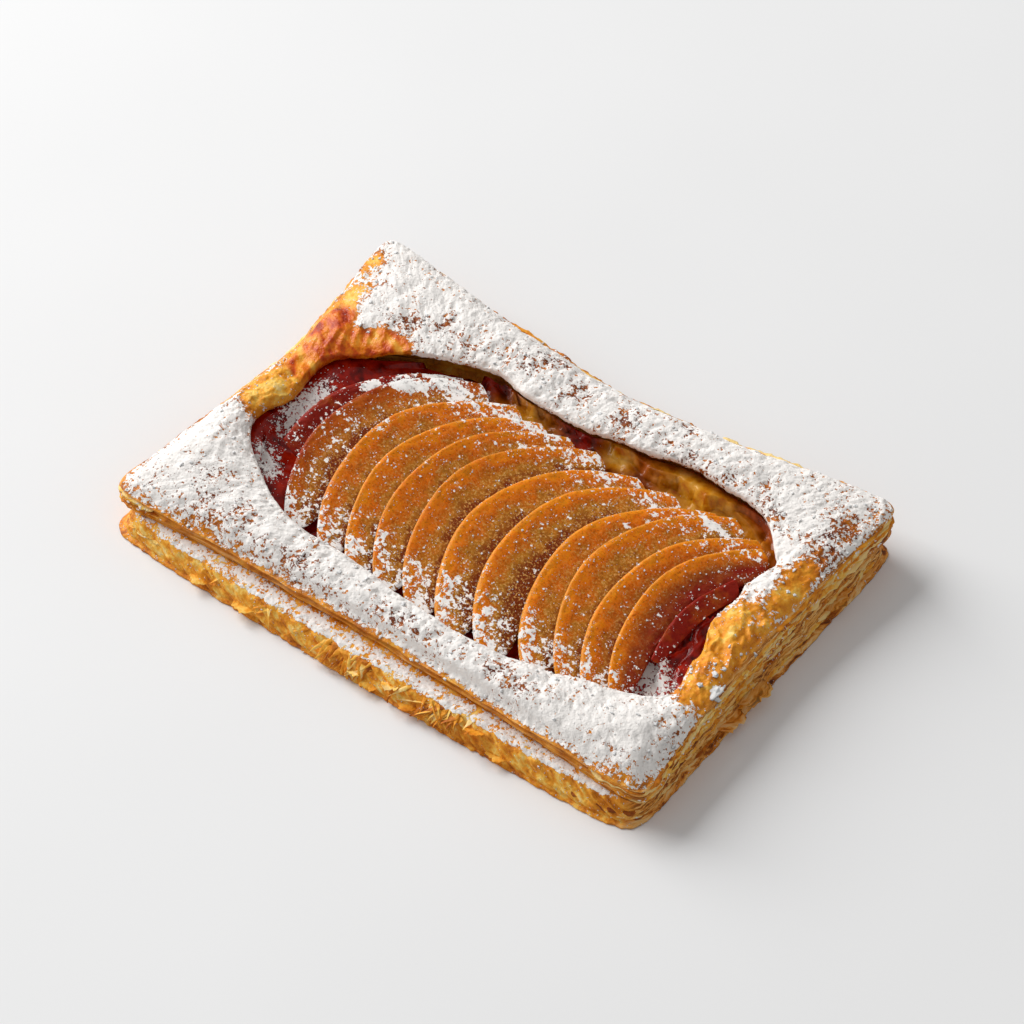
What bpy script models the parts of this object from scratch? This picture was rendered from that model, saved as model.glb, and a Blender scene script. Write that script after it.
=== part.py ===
"""Apple tart slice: a puff pastry base and a windowed pastry lid, with compote and a fan of apple slices between.

X runs along the tart, Y across it and Z up from the table. Lengths are in metres, written as so many mm.
"""

import math
from functools import lru_cache

import bpy
import numpy as np
from mathutils import Euler, Matrix, Vector, noise

mm = 0.001

# The tart's middle in drawing coordinates, which becomes the model's origin
MIDDLE = Vector((1.15 * mm, -3.54 * mm, 0.0))

# Each sheet's four sides. Right and left are x at the front corner, middle and back corner;
# front and back are y at the left corner, middle and right corner. The corners are then rounded off.
LID_SIDES = {
    "right": (72.0 * mm, 70.2 * mm, 74.3 * mm),
    "left": (-74.0 * mm, -68.3 * mm, -70.4 * mm),
    "front": (-48.9 * mm, -46.4 * mm, -48.8 * mm),
    "back": (48.8 * mm, 43.0 * mm, 49.2 * mm),
}
BASE_SIDES = {
    "right": (70.2 * mm, 71.4 * mm, 72.8 * mm),
    "left": (-70.6 * mm, -67.4 * mm, -70.4 * mm),
    "front": (-51.4 * mm, -52.9 * mm, -50.4 * mm),
    "back": (46.6 * mm, 42.6 * mm, 47.4 * mm),
}
CORNER_POWER = 22

# Window in the lid: half length and width, middle, and how it strays from an oval at each angle
WINDOW_HALF = (60.0 * mm, 32.0 * mm)
WINDOW_CENTRE = (0.5 * mm, -3.6 * mm)
WINDOW_POWER = 2.7
WINDOW_STRAYS = {
    2: -3.0 * mm, 12: -0.5 * mm, 22: 7.5 * mm, 33: 10.0 * mm, 46: 6.0 * mm, 64: 0.3 * mm,
    90: -2.0 * mm, 114: -2.2 * mm, 126: 0.8 * mm, 156: -1.5 * mm, 167: 1.2 * mm, 180: -1.8 * mm,
    190: 1.6 * mm, 204: -0.3 * mm, 220: 1.2 * mm, 240: -0.5 * mm, 272: 1.2 * mm, 302: 2.6 * mm,
    326: 2.8 * mm, 340: 6.6 * mm, 352: 0.5 * mm,
}

# Heights at each angle round the tart: lid's cut edge, puffed crest and window rim
EDGE_TOP = {
    0: 11.6 * mm, 33: 14.0 * mm, 60: 11.0 * mm, 90: 9.6 * mm, 120: 11.6 * mm, 146: 14.2 * mm,
    160: 11.5 * mm, 172: 9.0 * mm, 185: 10.4 * mm, 200: 11.0 * mm, 214: 10.2 * mm, 240: 9.3 * mm,
    300: 9.4 * mm, 326: 10.2 * mm, 342: 12.0 * mm,
}
CREST_TOP = {
    0: 14.2 * mm, 33: 15.6 * mm, 60: 15.0 * mm, 90: 14.4 * mm, 120: 15.4 * mm, 146: 16.0 * mm,
    160: 13.8 * mm, 172: 10.9 * mm, 185: 13.0 * mm, 205: 14.8 * mm, 240: 14.0 * mm, 290: 14.0 * mm,
    326: 15.2 * mm, 345: 13.6 * mm,
}
RIM_TOP = {
    0: 13.0 * mm, 33: 14.2 * mm, 60: 14.2 * mm, 90: 13.8 * mm, 120: 14.4 * mm, 146: 14.2 * mm,
    160: 12.2 * mm, 172: 10.6 * mm, 185: 12.0 * mm, 205: 13.0 * mm, 240: 13.2 * mm, 290: 13.4 * mm,
    326: 13.4 * mm, 345: 12.4 * mm,
}
RIM_THICKNESS = 2.4 * mm
BASE_FLOOR = 3.0 * mm
BASE_LEDGE = 6.0 * mm
JOINT_GAP = 0.3 * mm
LAYER_DEPTH = 0.45 * mm
LID_CRAGS = 0.9 * mm
BASE_CRAGS = 1.9 * mm
BASE_SAG = 0.9 * mm

# Compote: how far it runs under the rim, how high it stands in the window, and how deep the hollow behind is
COMPOTE_REACH = 1.8 * mm
POOL_HEIGHT = 9.0 * mm
COMPOTE_SPREAD = (0, 0.14, 0.28, 0.40, 0.51, 0.61, 0.70, 0.77, 0.83, 0.88, 0.92, 0.96, 1.0)
COMPOTE_UNDERSIDE = (0.985, 0.8, 0.4, 0.0)
HOLLOW_AT = (-42.0 * mm, 16.0 * mm)
HOLLOW_SIZE = 9.0 * mm
HOLLOW_DEPTH = 2.2 * mm

# Apple fan: every slice leans by LEAN towards the right, and the fan is pressed flatter towards its long sides.
# One row is the middle of a slice's round side (x, y), its top, its reach to the front end and to the back end,
# its width and its turn in degrees
LEAN = math.radians(22)
SLICES = [
    (-48.6 * mm, 5.8 * mm, 12.6 * mm, 20.0 * mm, 25.0 * mm, 12.0 * mm, -23.0),
    (-43.9 * mm, 4.1 * mm, 14.1 * mm, 31.5 * mm, 26.5 * mm, 14.5 * mm, -18.0),
    (-34.0 * mm, 2.0 * mm, 14.2 * mm, 31.8 * mm, 27.5 * mm, 14.0 * mm, -16.0),
    (-26.4 * mm, -1.0 * mm, 14.5 * mm, 30.4 * mm, 29.0 * mm, 13.5 * mm, -12.2),
    (-19.2 * mm, -2.3 * mm, 14.7 * mm, 30.4 * mm, 30.0 * mm, 13.5 * mm, -9.4),
    (-11.4 * mm, -3.0 * mm, 14.7 * mm, 31.0 * mm, 30.5 * mm, 14.5 * mm, -7.5),
    (-1.3 * mm, -4.2 * mm, 14.7 * mm, 30.2 * mm, 31.5 * mm, 15.0 * mm, -8.0),
    (8.5 * mm, -3.2 * mm, 14.7 * mm, 31.0 * mm, 31.0 * mm, 15.0 * mm, -8.2),
    (20.3 * mm, -1.0 * mm, 14.6 * mm, 31.0 * mm, 30.0 * mm, 14.5 * mm, -10.0),
    (27.5 * mm, 1.5 * mm, 14.6 * mm, 31.4 * mm, 28.0 * mm, 13.5 * mm, -10.0),
    (36.1 * mm, -0.1 * mm, 14.4 * mm, 28.7 * mm, 27.0 * mm, 12.5 * mm, -10.5),
    (42.9 * mm, 1.5 * mm, 14.4 * mm, 29.0 * mm, 22.5 * mm, 10.0 * mm, -11.7),
    (52.6 * mm, 3.0 * mm, 13.4 * mm, 20.0 * mm, 7.5 * mm, 4.4 * mm, -15.5),
]
SLICE_ROUND = 37.0 * mm
SLICE_BLUNTNESS = 5
SLICE_GAP = 0.6 * mm
SLICE_MARGIN = 0.7 * mm
SLICE_THICKEST = 3.3 * mm
FAN_TOP = 14.5 * mm
FAN_SAG = 2.0 * mm
FAN_FLAT = 0.6  # the share of its relief that the fan keeps at its long sides
FAN_MIDDLE_Y = -4.0 * mm
FAN_HALF_WIDTH = 32.0 * mm
FAN_REACH_X = (-60.0 * mm, 66.0 * mm)
FAN_REACH_Y = (-40.0 * mm, 32.0 * mm)

# Flakes that peel off the base: x, y, height, length, width, heading and curl in degrees
FLAKES = [
    (-1.0 * mm, -51.8 * mm, 2.4 * mm, 4.4 * mm, 4.4 * mm, -72, 10),
    (3.5 * mm, -52.2 * mm, 1.6 * mm, 4.6 * mm, 5.0 * mm, -100, 6),
    (8.0 * mm, -51.6 * mm, 3.4 * mm, 4.2 * mm, 4.2 * mm, -60, 18),
    (13.5 * mm, -52.0 * mm, 1.7 * mm, 4.6 * mm, 5.6 * mm, -108, 6),
    (30.5 * mm, -51.0 * mm, 4.0 * mm, 3.6 * mm, 5.0 * mm, -82, 20),
    (37.0 * mm, -51.4 * mm, 1.5 * mm, 4.0 * mm, 5.4 * mm, -97, 6),
    (-32.0 * mm, -52.0 * mm, 1.9 * mm, 4.8 * mm, 6.4 * mm, -84, 8),
    (-45.0 * mm, -51.8 * mm, 1.8 * mm, 4.4 * mm, 5.4 * mm, -101, 8),
    (71.4 * mm, -7.0 * mm, 2.6 * mm, 6.2 * mm, 9.0 * mm, -2, 14),
    (71.0 * mm, -15.5 * mm, 1.9 * mm, 5.4 * mm, 8.0 * mm, -14, 8),
    (71.2 * mm, 26.0 * mm, 2.2 * mm, 5.4 * mm, 9.0 * mm, 5, 10),
    (-67.6 * mm, 30.0 * mm, 3.0 * mm, 4.4 * mm, 5.4 * mm, 170, 12),
]
FLAKE_THICKNESS = 0.7 * mm

AROUND = 100  # vertices round each sheet
COMPOTE_AROUND = 64
LID_SECTION = 18
BASE_RINGS = 13
SLICE_AROUND = 10
SLICE_RINGS = 12
NOISE_GRAIN = 5.5 * mm


def around(angle, knots):
    """Value at each angle, eased between the knots {degrees: value} that go once round."""
    at = np.array(sorted(knots), float)
    value = np.array([knots[a] for a in sorted(knots)])
    at, value = np.append(at, at[0] + 360), np.append(value, value[0])
    degrees = (np.degrees(angle) - at[0]) % 360 + at[0]
    i = np.clip(np.searchsorted(at, degrees, side="right") - 1, 0, len(at) - 2)
    t = (degrees - at[i]) / (at[i + 1] - at[i])
    return value[i] + (value[i + 1] - value[i]) * t * t * (3 - 2 * t)


def oval(angle, half, power):
    """Distance from the middle to a superellipse in the direction angle."""
    x, y = np.abs(np.cos(angle) / half[0]), np.abs(np.sin(angle) / half[1])
    return (x**power + y**power) ** (-1 / power)


def side_at(values, t):
    """A sheet's side at t, from -1 at one corner to 1 at the other: a parabola through its three values."""
    start, middle, end = values
    return middle + (end - start) / 2 * t + ((start + end) / 2 - middle) * t**2


def sheet_edge(share, sides):
    """Points (x, y) evenly spaced round a pastry sheet, for shares from 0 to 1, starting at the right end."""
    half = (sides["right"][1], sides["back"][1])
    fine = np.linspace(0, 2 * math.pi, 4000)
    r = oval(fine, half, CORNER_POWER)
    x, y = r * np.cos(fine), r * np.sin(fine)
    run = np.append(0, np.cumsum(np.hypot(np.diff(x), np.diff(y))))
    angle = np.interp(share % 1.0, run / run[-1], fine)
    r = oval(angle, half, CORNER_POWER)
    u, v = r * np.cos(angle) / half[0], r * np.sin(angle) / half[1]
    left, right = side_at(sides["left"], v), side_at(sides["right"], v)
    front, back = side_at(sides["front"], u), side_at(sides["back"], u)
    return left + (right - left) * (u + 1) / 2, front + (back - front) * (v + 1) / 2


def window_edge(x, y):
    """The window rim's points (x, y) that face the given points of a sheet's edge, and their angles."""
    angle = np.arctan2(y / LID_SIDES["back"][1], x / LID_SIDES["right"][1])
    angle = np.arctan2(np.sin(angle) * WINDOW_HALF[1], np.cos(angle) * WINDOW_HALF[0])
    r = oval(angle, WINDOW_HALF, WINDOW_POWER) + around(angle, WINDOW_STRAYS)
    return WINDOW_CENTRE[0] + r * np.cos(angle), WINDOW_CENTRE[1] + r * np.sin(angle), angle


def crags(points, depth):
    """A smooth random offset, within about depth, at each point of the pastry."""
    return depth * np.array([noise.noise(Vector(p) / NOISE_GRAIN) for p in points])


def collection_for(name):
    made = bpy.data.collections.new(name)
    bpy.context.scene.collection.children.link(made)
    return made


def finish_for(name, colour, roughness):
    """A plain Principled material."""
    made = bpy.data.materials.new(name)
    made.use_nodes = True
    shader = made.node_tree.nodes["Principled BSDF"]
    shader.inputs["Base Color"].default_value = (*colour, 1.0)
    shader.inputs["Roughness"].default_value = roughness
    shader.inputs["Metallic"].default_value = 0.0
    return made


def take_active(name, collection, material, parent):
    """Names the primitive just added, moves it to its collection and gives it its material."""
    obj = bpy.context.object
    for owner in list(obj.users_collection):
        owner.objects.unlink(obj)
    collection.objects.link(obj)
    obj.name = obj.data.name = name
    obj.data.materials.append(material)
    obj.parent = parent
    return obj


def vertices_of(obj):
    flat = np.empty(len(obj.data.vertices) * 3, np.float32)
    obj.data.vertices.foreach_get("co", flat)
    return flat.reshape(-1, 3).astype(float)


def move_vertices(obj, points):
    obj.data.vertices.foreach_set("co", np.asarray(points, np.float32).ravel())
    obj.data.shade_smooth()
    obj.data.set_sharp_from_angle(angle=math.radians(45))
    obj.data.update()


def sphere_grid(obj, rings):
    """Share round (0 to 1) and ring number from the top of each vertex of a unit sphere primitive."""
    co = vertices_of(obj)
    share = np.arctan2(co[:, 1], co[:, 0]) / (2 * math.pi) % 1.0
    ring = np.rint(np.arccos(np.clip(co[:, 2], -1, 1)) / math.pi * rings).astype(int)
    return share, ring


def add_lid(collection, material, parent):
    """The lid is a torus: its tube becomes the band's section, from cut edge over the crest to the rim."""
    major, minor = 1.0, 0.25
    bpy.ops.mesh.primitive_torus_add(
        major_segments=AROUND, minor_segments=LID_SECTION, major_radius=major, minor_radius=minor
    )
    obj = take_active("pastry_lid", collection, material, parent)
    co = vertices_of(obj)
    share = np.arctan2(co[:, 1], co[:, 0]) / (2 * math.pi) % 1.0
    tube = np.arctan2(co[:, 2], np.hypot(co[:, 0], co[:, 1]) - major)
    step = np.rint(tube / (2 * math.pi) * LID_SECTION).astype(int) % LID_SECTION

    out_x, out_y = sheet_edge(share, LID_SIDES)
    in_x, in_y, _ = window_edge(out_x, out_y)
    width = np.hypot(out_x - in_x, out_y - in_y)
    angle = np.arctan2(out_y, out_x)
    edge, crest, rim = (around(angle, k) for k in (EDGE_TOP, CREST_TOP, RIM_TOP))
    under = np.full_like(edge, BASE_LEDGE + JOINT_GAP)
    roof = rim - RIM_THICKNESS

    def between(low, high, t):
        return low + (high - low) * t

    # Section from the middle of the cut edge, up and over to the rim, and back along the underside
    section = [
        (width + LAYER_DEPTH, between(under, edge, 0.46)),
        (width - LAYER_DEPTH, between(under, edge, 0.70)),
        (width + 0.4 * LAYER_DEPTH, between(under, edge, 0.96)),
        (width - 1.3 * mm, edge + 0.7 * mm),
        (width * 0.80, between(edge, crest, 0.68)),
        (width * 0.60, between(edge, crest, 0.97)),
        (width * 0.42, crest),
        (width * 0.25, between(rim, crest, 0.65)),
        (width * 0.10, rim + 0.2 * mm),
        (0.3 * mm + 0 * width, rim - 0.5 * mm),
        (0 * width, rim - 1.2 * mm),
        (0.4 * mm + 0 * width, roof + 0.2 * mm),
        (2.6 * mm + 0 * width, roof),
        (4.6 * mm + 0 * width, between(under, roof, 0.62)),
        (np.minimum(7.0 * mm, width - 2.2 * mm), under),
        (width - 1.0 * mm, under),
        (width - 0.5 * LAYER_DEPTH, between(under, edge, 0.10)),
        (width + 0.2 * LAYER_DEPTH, between(under, edge, 0.25)),
    ]
    out = np.select([step == i for i in range(LID_SECTION)], [p[0] for p in section])
    z = np.select([step == i for i in range(LID_SECTION)], [p[1] for p in section])
    x = in_x + (out_x - in_x) * out / width
    y = in_y + (out_y - in_y) * out / width
    points = np.stack([x, y, z], 1)

    on_side = np.isin(step, (0, 1, 2, 17))
    on_top = np.isin(step, (3, 4, 5, 6, 7))
    lump = crags(points, LID_CRAGS)
    points[:, 0] += (out_x - in_x) / width * lump * on_side
    points[:, 1] += (out_y - in_y) / width * lump * on_side
    points[:, 2] += lump * on_top
    move_vertices(obj, points)
    return obj


def add_base(collection, material, parent):
    """The base is a sphere flattened to a slab: a dish for the filling, a ledge and a craggy side."""
    bpy.ops.mesh.primitive_uv_sphere_add(segments=AROUND, ring_count=BASE_RINGS, radius=1.0)
    obj = take_active("pastry_base", collection, material, parent)
    share, ring = sphere_grid(obj, BASE_RINGS)
    out_x, out_y = sheet_edge(share, BASE_SIDES)
    in_x, in_y, _ = window_edge(out_x, out_y)
    width = np.hypot(out_x - in_x, out_y - in_y)
    dish = np.minimum(width, 12.0 * mm)

    # The dish's floor and the flat underside: each ring's share of the way out from the middle, and its height
    near = {0: (0.0, BASE_FLOOR), 1: (0.45, BASE_FLOOR), BASE_RINGS - 1: (0.5, 0.0), BASE_RINGS: (0.0, 0.0)}
    # Dish wall, ledge and layered side: each ring's distance out from the window rim, and its height
    far = {
        2: (0.38 * dish, BASE_FLOOR),
        3: (0.55 * dish, BASE_LEDGE),
        4: (width - 5.0 * mm, BASE_LEDGE),
        5: (width - 2.9 * mm, BASE_LEDGE),
        6: (width - 1.7 * mm, 5.3 * mm),
        7: (width - 0.9 * mm, 4.2 * mm),
        8: (width - 0.4 * mm, 3.0 * mm),
        9: (width + 0.3 * mm, 2.0 * mm),
        10: (width + 0.1 * mm, 0.8 * mm),
        11: (width - 1.2 * mm, 0.0),
    }
    points = np.zeros((len(ring), 3))
    for number, (way_out, height) in near.items():
        x = WINDOW_CENTRE[0] + (out_x - WINDOW_CENTRE[0]) * way_out
        y = WINDOW_CENTRE[1] + (out_y - WINDOW_CENTRE[1]) * way_out
        here = ring == number
        points[here] = np.stack([x, y, np.full_like(x, height)], 1)[here]
    for number, (out, height) in far.items():
        x = in_x + (out_x - in_x) * out / width
        y = in_y + (out_y - in_y) * out / width
        here = ring == number
        points[here] = np.stack([x, y, np.full_like(x, height)], 1)[here]

    push = crags(points, BASE_CRAGS) * ((ring >= 6) & (ring <= 10))
    points[:, 0] += (out_x - in_x) / width * push
    points[:, 1] += (out_y - in_y) / width * push
    points[:, 2] += crags(points[:, [1, 0, 2]], BASE_SAG) * ((ring == 6) | (ring == 7))
    move_vertices(obj, points)
    return obj


def slice_matrix(number):
    """Where slice number stands, as a matrix from its own frame to the drawing's."""
    x, y, top, _, _, _, turn = SLICES[number]
    return Matrix.Translation((x, y, top)) @ Euler((0, LEAN, math.radians(turn))).to_matrix().to_4x4()


def half_moon(number, along, margin=0.0):
    """Start and width of the slice across at each place along it, 0 at its middle, and its share of the reach."""
    front, back, width = SLICES[number][3:6]
    share = along / (np.where(along < 0, front, back) + margin)
    start = SLICE_ROUND - np.sqrt(np.maximum(SLICE_ROUND**2 - along**2, 0))
    return start, width * np.sqrt(np.maximum(1 - np.abs(share) ** SLICE_BLUNTNESS, 0)), share


def pressed(y, z):
    """Height z of the unpressed fan once it is pressed flatter and lower towards its two long sides."""
    way_out = np.abs((y - FAN_MIDDLE_Y) / FAN_HALF_WIDTH)
    relief = 1 - (1 - FAN_FLAT) * np.minimum(way_out, 1.1) ** 2.2
    return FAN_TOP + (z - FAN_TOP) * relief - FAN_SAG * way_out**2.4


def slice_face(number, x, y, margin=0.0):
    """Whether each (x, y) lies over the slice, or within margin of it, and its face's height there, unpressed."""
    at_x, at_y, top, _, _, _, turn = SLICES[number]
    cos, sin = math.cos(math.radians(turn)), math.sin(math.radians(turn))
    out = cos * (x - at_x) + sin * (y - at_y)
    along = cos * (y - at_y) - sin * (x - at_x)
    start, width, share = half_moon(number, along, margin)
    after = out > start * math.cos(LEAN) - margin
    before = out < (start + width) * math.cos(LEAN) + margin
    return after & before & (np.abs(share) < 1), top - out * math.tan(LEAN)


@lru_cache(maxsize=None)
def slice_thickness(number):
    """As thick as the room that the slice has over the one below it, up to the thickest."""
    if number == 0:
        return SLICE_THICKEST
    x, y = np.meshgrid(np.linspace(*FAN_REACH_X, 260), np.linspace(*FAN_REACH_Y, 160))
    over, face = slice_face(number, x, y, SLICE_MARGIN)
    over_last, last_face = slice_face(number - 1, x, y)
    room = (face - last_face)[over & over_last].min(initial=1.0)
    return min(SLICE_THICKEST, room * math.cos(LEAN) - SLICE_GAP)


def add_slice(number, collection, material, parent):
    """A half-moon slice: a sphere whose poles are the slice's ends, drawn out along Y."""
    front, back = SLICES[number][3:5]
    matrix = slice_matrix(number)
    bpy.ops.mesh.primitive_uv_sphere_add(segments=SLICE_AROUND, ring_count=SLICE_RINGS, radius=1.0)
    obj = take_active(f"apple_slice_{number + 1:02d}", collection, material, parent)
    co = vertices_of(obj)
    along = np.clip(co[:, 2], -1, 1) * np.where(co[:, 2] < 0, front, back)
    turn = np.arctan2(co[:, 1], co[:, 0])
    start, width, share = half_moon(number, along)

    # A rounded box in section, thinner on the core side and closing to nothing at the ends
    across = 0.5 + 0.5 * np.sign(np.cos(turn)) * np.abs(np.cos(turn)) ** 0.55
    below = 0.5 + 0.5 * np.sign(np.sin(turn)) * np.abs(np.sin(turn)) ** 0.55
    thin = slice_thickness(number) * (1 - np.abs(share) ** 7) ** 0.5 * (1 - 0.25 * across)
    drawn = np.stack([start + width * across, along, -below * thin, np.ones_like(along)], 1) @ np.array(matrix).T
    drawn[:, 2] = pressed(drawn[:, 1], drawn[:, 2])
    own = drawn @ np.array(matrix.inverted()).T
    move_vertices(obj, own[:, :3])
    obj.location = matrix.to_translation()
    obj.rotation_euler = matrix.to_euler()
    return obj


def under_the_fan(x, y):
    """Height of the lowest slice's underside at each (x, y), or a large height where no slice lies."""
    lowest = np.full_like(x, 1.0)
    for number in range(len(SLICES)):
        over, face = slice_face(number, x, y, SLICE_MARGIN)
        underside = pressed(y, face - slice_thickness(number) / math.cos(LEAN))
        lowest = np.where(over, np.minimum(lowest, underside), lowest)
    return lowest


def compote_place(share, ring):
    """Where the compote's surface point lies: share of the way round, and ring outwards from the middle."""
    out_x, out_y = sheet_edge(share, LID_SIDES)
    in_x, in_y, _ = window_edge(out_x, out_y)
    away = np.hypot(out_x - in_x, out_y - in_y)
    edge_x = in_x + (out_x - in_x) / away * COMPOTE_REACH
    edge_y = in_y + (out_y - in_y) / away * COMPOTE_REACH
    spread = np.interp(ring, range(len(COMPOTE_SPREAD)), COMPOTE_SPREAD)
    x = WINDOW_CENTRE[0] + (edge_x - WINDOW_CENTRE[0]) * spread
    y = WINDOW_CENTRE[1] + (edge_y - WINDOW_CENTRE[1]) * spread
    return x, y, np.arctan2(out_y, out_x)


def compote_top(share, ring):
    """Height of the compote: pools at the window's ends, pressed down by the apple within a mesh step."""
    x, y, angle = compote_place(share, ring)
    hollow = np.hypot(x - HOLLOW_AT[0], (y - HOLLOW_AT[1]) * 1.6) / HOLLOW_SIZE
    pool = POOL_HEIGHT - HOLLOW_DEPTH * np.exp(-(hollow**2))
    top = np.minimum(pool, around(angle, RIM_TOP) - RIM_THICKNESS - 0.5 * mm)
    for side in (-1, -0.5, 0, 0.5, 1):
        for outwards in (-1, -0.5, 0, 0.5, 1):
            near_x, near_y, _ = compote_place(share + side / COMPOTE_AROUND, ring + outwards)
            top = np.minimum(top, under_the_fan(near_x, near_y) - SLICE_GAP)
    return np.maximum(top, BASE_FLOOR + 1.0 * mm)


def add_compote(collection, material, parent):
    """The compote is a flattened sphere that fills the base's dish and runs just under the rim."""
    top_rings = len(COMPOTE_SPREAD) - 1
    rings = top_rings + len(COMPOTE_UNDERSIDE)
    bpy.ops.mesh.primitive_uv_sphere_add(segments=COMPOTE_AROUND, ring_count=rings, radius=1.0)
    obj = take_active("apple_compote", collection, material, parent)
    share, ring = sphere_grid(obj, rings)
    on_top = ring <= top_rings
    edge_x, edge_y, _ = compote_place(share, np.full_like(share, top_rings))
    below = np.array(COMPOTE_UNDERSIDE)[np.clip(ring - top_rings - 1, 0, None)]
    top_x, top_y, _ = compote_place(share, ring)
    x = np.where(on_top, top_x, WINDOW_CENTRE[0] + (edge_x - WINDOW_CENTRE[0]) * below)
    y = np.where(on_top, top_y, WINDOW_CENTRE[1] + (edge_y - WINDOW_CENTRE[1]) * below)
    z = np.where(on_top, compote_top(share, ring), BASE_FLOOR + JOINT_GAP)
    move_vertices(obj, np.stack([x, y, z], 1))
    return obj


def add_flake(number, collection, material):
    """A thin curled leaf of pastry, rooted inside the base's side."""
    x, y, z, length, width, heading, curl = FLAKES[number]
    bpy.ops.mesh.primitive_grid_add(x_subdivisions=4, y_subdivisions=3, size=1.0)
    obj = take_active(f"flake_{number + 1:02d}", collection, material, None)
    co = vertices_of(obj)
    out, side = co[:, 0] + 0.5, co[:, 1]
    taper = 1 - 0.45 * out**2 + 0.12 * np.cos(7 * out + number)
    rise = math.tan(math.radians(curl)) * length * out**1.6 + 0.35 * mm * np.sin(9 * side + number)
    move_vertices(obj, np.stack([(out - 0.35) * length, side * width * taper, rise], 1))
    wall = obj.modifiers.new("thickness", "SOLIDIFY")
    wall.thickness = FLAKE_THICKNESS
    wall.offset = 0.0
    obj.location = (x, y, z)
    obj.rotation_euler = (0, 0, math.radians(heading))
    return obj


def join_flakes(base, leaves):
    """One Boolean union makes the leaves relief of the base, and then the leaves go."""
    union = base.modifiers.new("flakes", "BOOLEAN")
    union.operation = "UNION"
    union.operand_type = "COLLECTION"
    union.collection = leaves
    union.solver = "EXACT"
    bpy.context.view_layer.update()
    graph = bpy.context.evaluated_depsgraph_get()
    joined = bpy.data.meshes.new_from_object(base.evaluated_get(graph))
    base.modifiers.remove(union)
    base.data = joined
    base.data.name = base.name
    for leaf in list(leaves.objects):
        bpy.data.objects.remove(leaf)
    bpy.data.collections.remove(leaves)


def build_tart():
    for obj in list(bpy.data.objects):
        bpy.data.objects.remove(obj)
    tart = collection_for("apple_tart_slice")
    leaves = collection_for("flakes")
    crust = finish_for("baked_puff_pastry", (0.72, 0.38, 0.10), 0.6)
    fruit = finish_for("glazed_apple", (0.62, 0.22, 0.02), 0.35)
    jam = finish_for("dark_compote", (0.16, 0.012, 0.006), 0.2)

    stand = bpy.data.objects.new("tart_middle", None)
    tart.objects.link(stand)
    base = add_base(tart, crust, stand)
    for number in range(len(FLAKES)):
        add_flake(number, leaves, crust)
    join_flakes(base, leaves)
    add_lid(tart, crust, stand)
    add_compote(tart, jam, stand)
    for number in range(len(SLICES)):
        add_slice(number, tart, fruit, stand)
    stand.location = -MIDDLE


build_tart()
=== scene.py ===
# %% [markdown]
# # An apple tart slice: flaky pastry, a fan of glazed apple and a heavy dusting of sugar
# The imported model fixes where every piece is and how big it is. This lesson dresses it. Each step first says
# what the real thing is and then builds it: shapes as numpy surfaces, finishes as small node graphs.
# Lengths are in metres, written as so many mm, and +Z is up from the table.

import math

import bpy
import numpy as np
from mathutils import Euler, Matrix, Vector


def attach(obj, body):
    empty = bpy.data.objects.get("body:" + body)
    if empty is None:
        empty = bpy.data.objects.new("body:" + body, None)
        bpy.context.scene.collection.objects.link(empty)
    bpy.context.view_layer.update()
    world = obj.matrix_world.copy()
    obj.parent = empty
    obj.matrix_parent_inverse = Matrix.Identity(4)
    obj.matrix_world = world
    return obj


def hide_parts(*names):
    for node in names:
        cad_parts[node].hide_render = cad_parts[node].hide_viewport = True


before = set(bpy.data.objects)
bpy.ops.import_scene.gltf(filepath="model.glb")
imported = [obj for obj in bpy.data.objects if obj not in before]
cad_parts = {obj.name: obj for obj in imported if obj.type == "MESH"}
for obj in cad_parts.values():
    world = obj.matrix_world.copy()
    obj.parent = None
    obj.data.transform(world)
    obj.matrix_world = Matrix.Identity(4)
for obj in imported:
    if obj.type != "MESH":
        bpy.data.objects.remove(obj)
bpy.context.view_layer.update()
mm = 0.001

# %% [markdown]
# Two kinds of shape do nearly everything here. A torus-like surface has a grid that wraps both ways, as the
# lid's band does. A sphere-like surface wraps round only one way and closes in a pole at each end, as a slice
# or a flake does. Both come from one function that takes the whole grid of points at once. A closed surface
# has a signed volume, so the function can tell whether its faces point outwards, and turn them if not.

# %% Surfaces from grids
# The tart's middle in drawing coordinates. Shapes are worked out in drawing coordinates, as the model's are.
MIDDLE = np.array([1.15 * mm, -3.54 * mm, 0.0])


def grid_faces(rows, columns, wrap_rows):
    """Quads of a grid whose columns go once round: each joins a point to the next column and the next row."""
    row = np.arange(rows if wrap_rows else rows - 1)[:, None]
    column = np.arange(columns)[None, :]
    after, beside = (row + 1) % rows, (column + 1) % columns
    corners = (row * columns + column, row * columns + beside, after * columns + beside, after * columns + column)
    return np.stack(np.broadcast_arrays(*corners), -1).reshape(-1, 4)


def pole_faces(pole, first, columns, flip):
    """Triangles that close a ring of points, starting at index first, in a single pole point."""
    column = np.arange(columns)
    ring = (first + column, first + (column + 1) % columns)
    order = (ring[1], ring[0]) if flip else ring
    return np.stack([np.full(columns, pole), *order], -1)


def signed_volume(points, faces):
    """Sum over the faces, cut into triangles from their first corner, of corner . (corner x corner) / 6."""
    first = points[faces[:, 0]]
    total = 0.0
    for side in range(1, faces.shape[1] - 1):
        total += np.einsum("ij,ij->", first, np.cross(points[faces[:, side]], points[faces[:, side + 1]]))
    return total / 6


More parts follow.
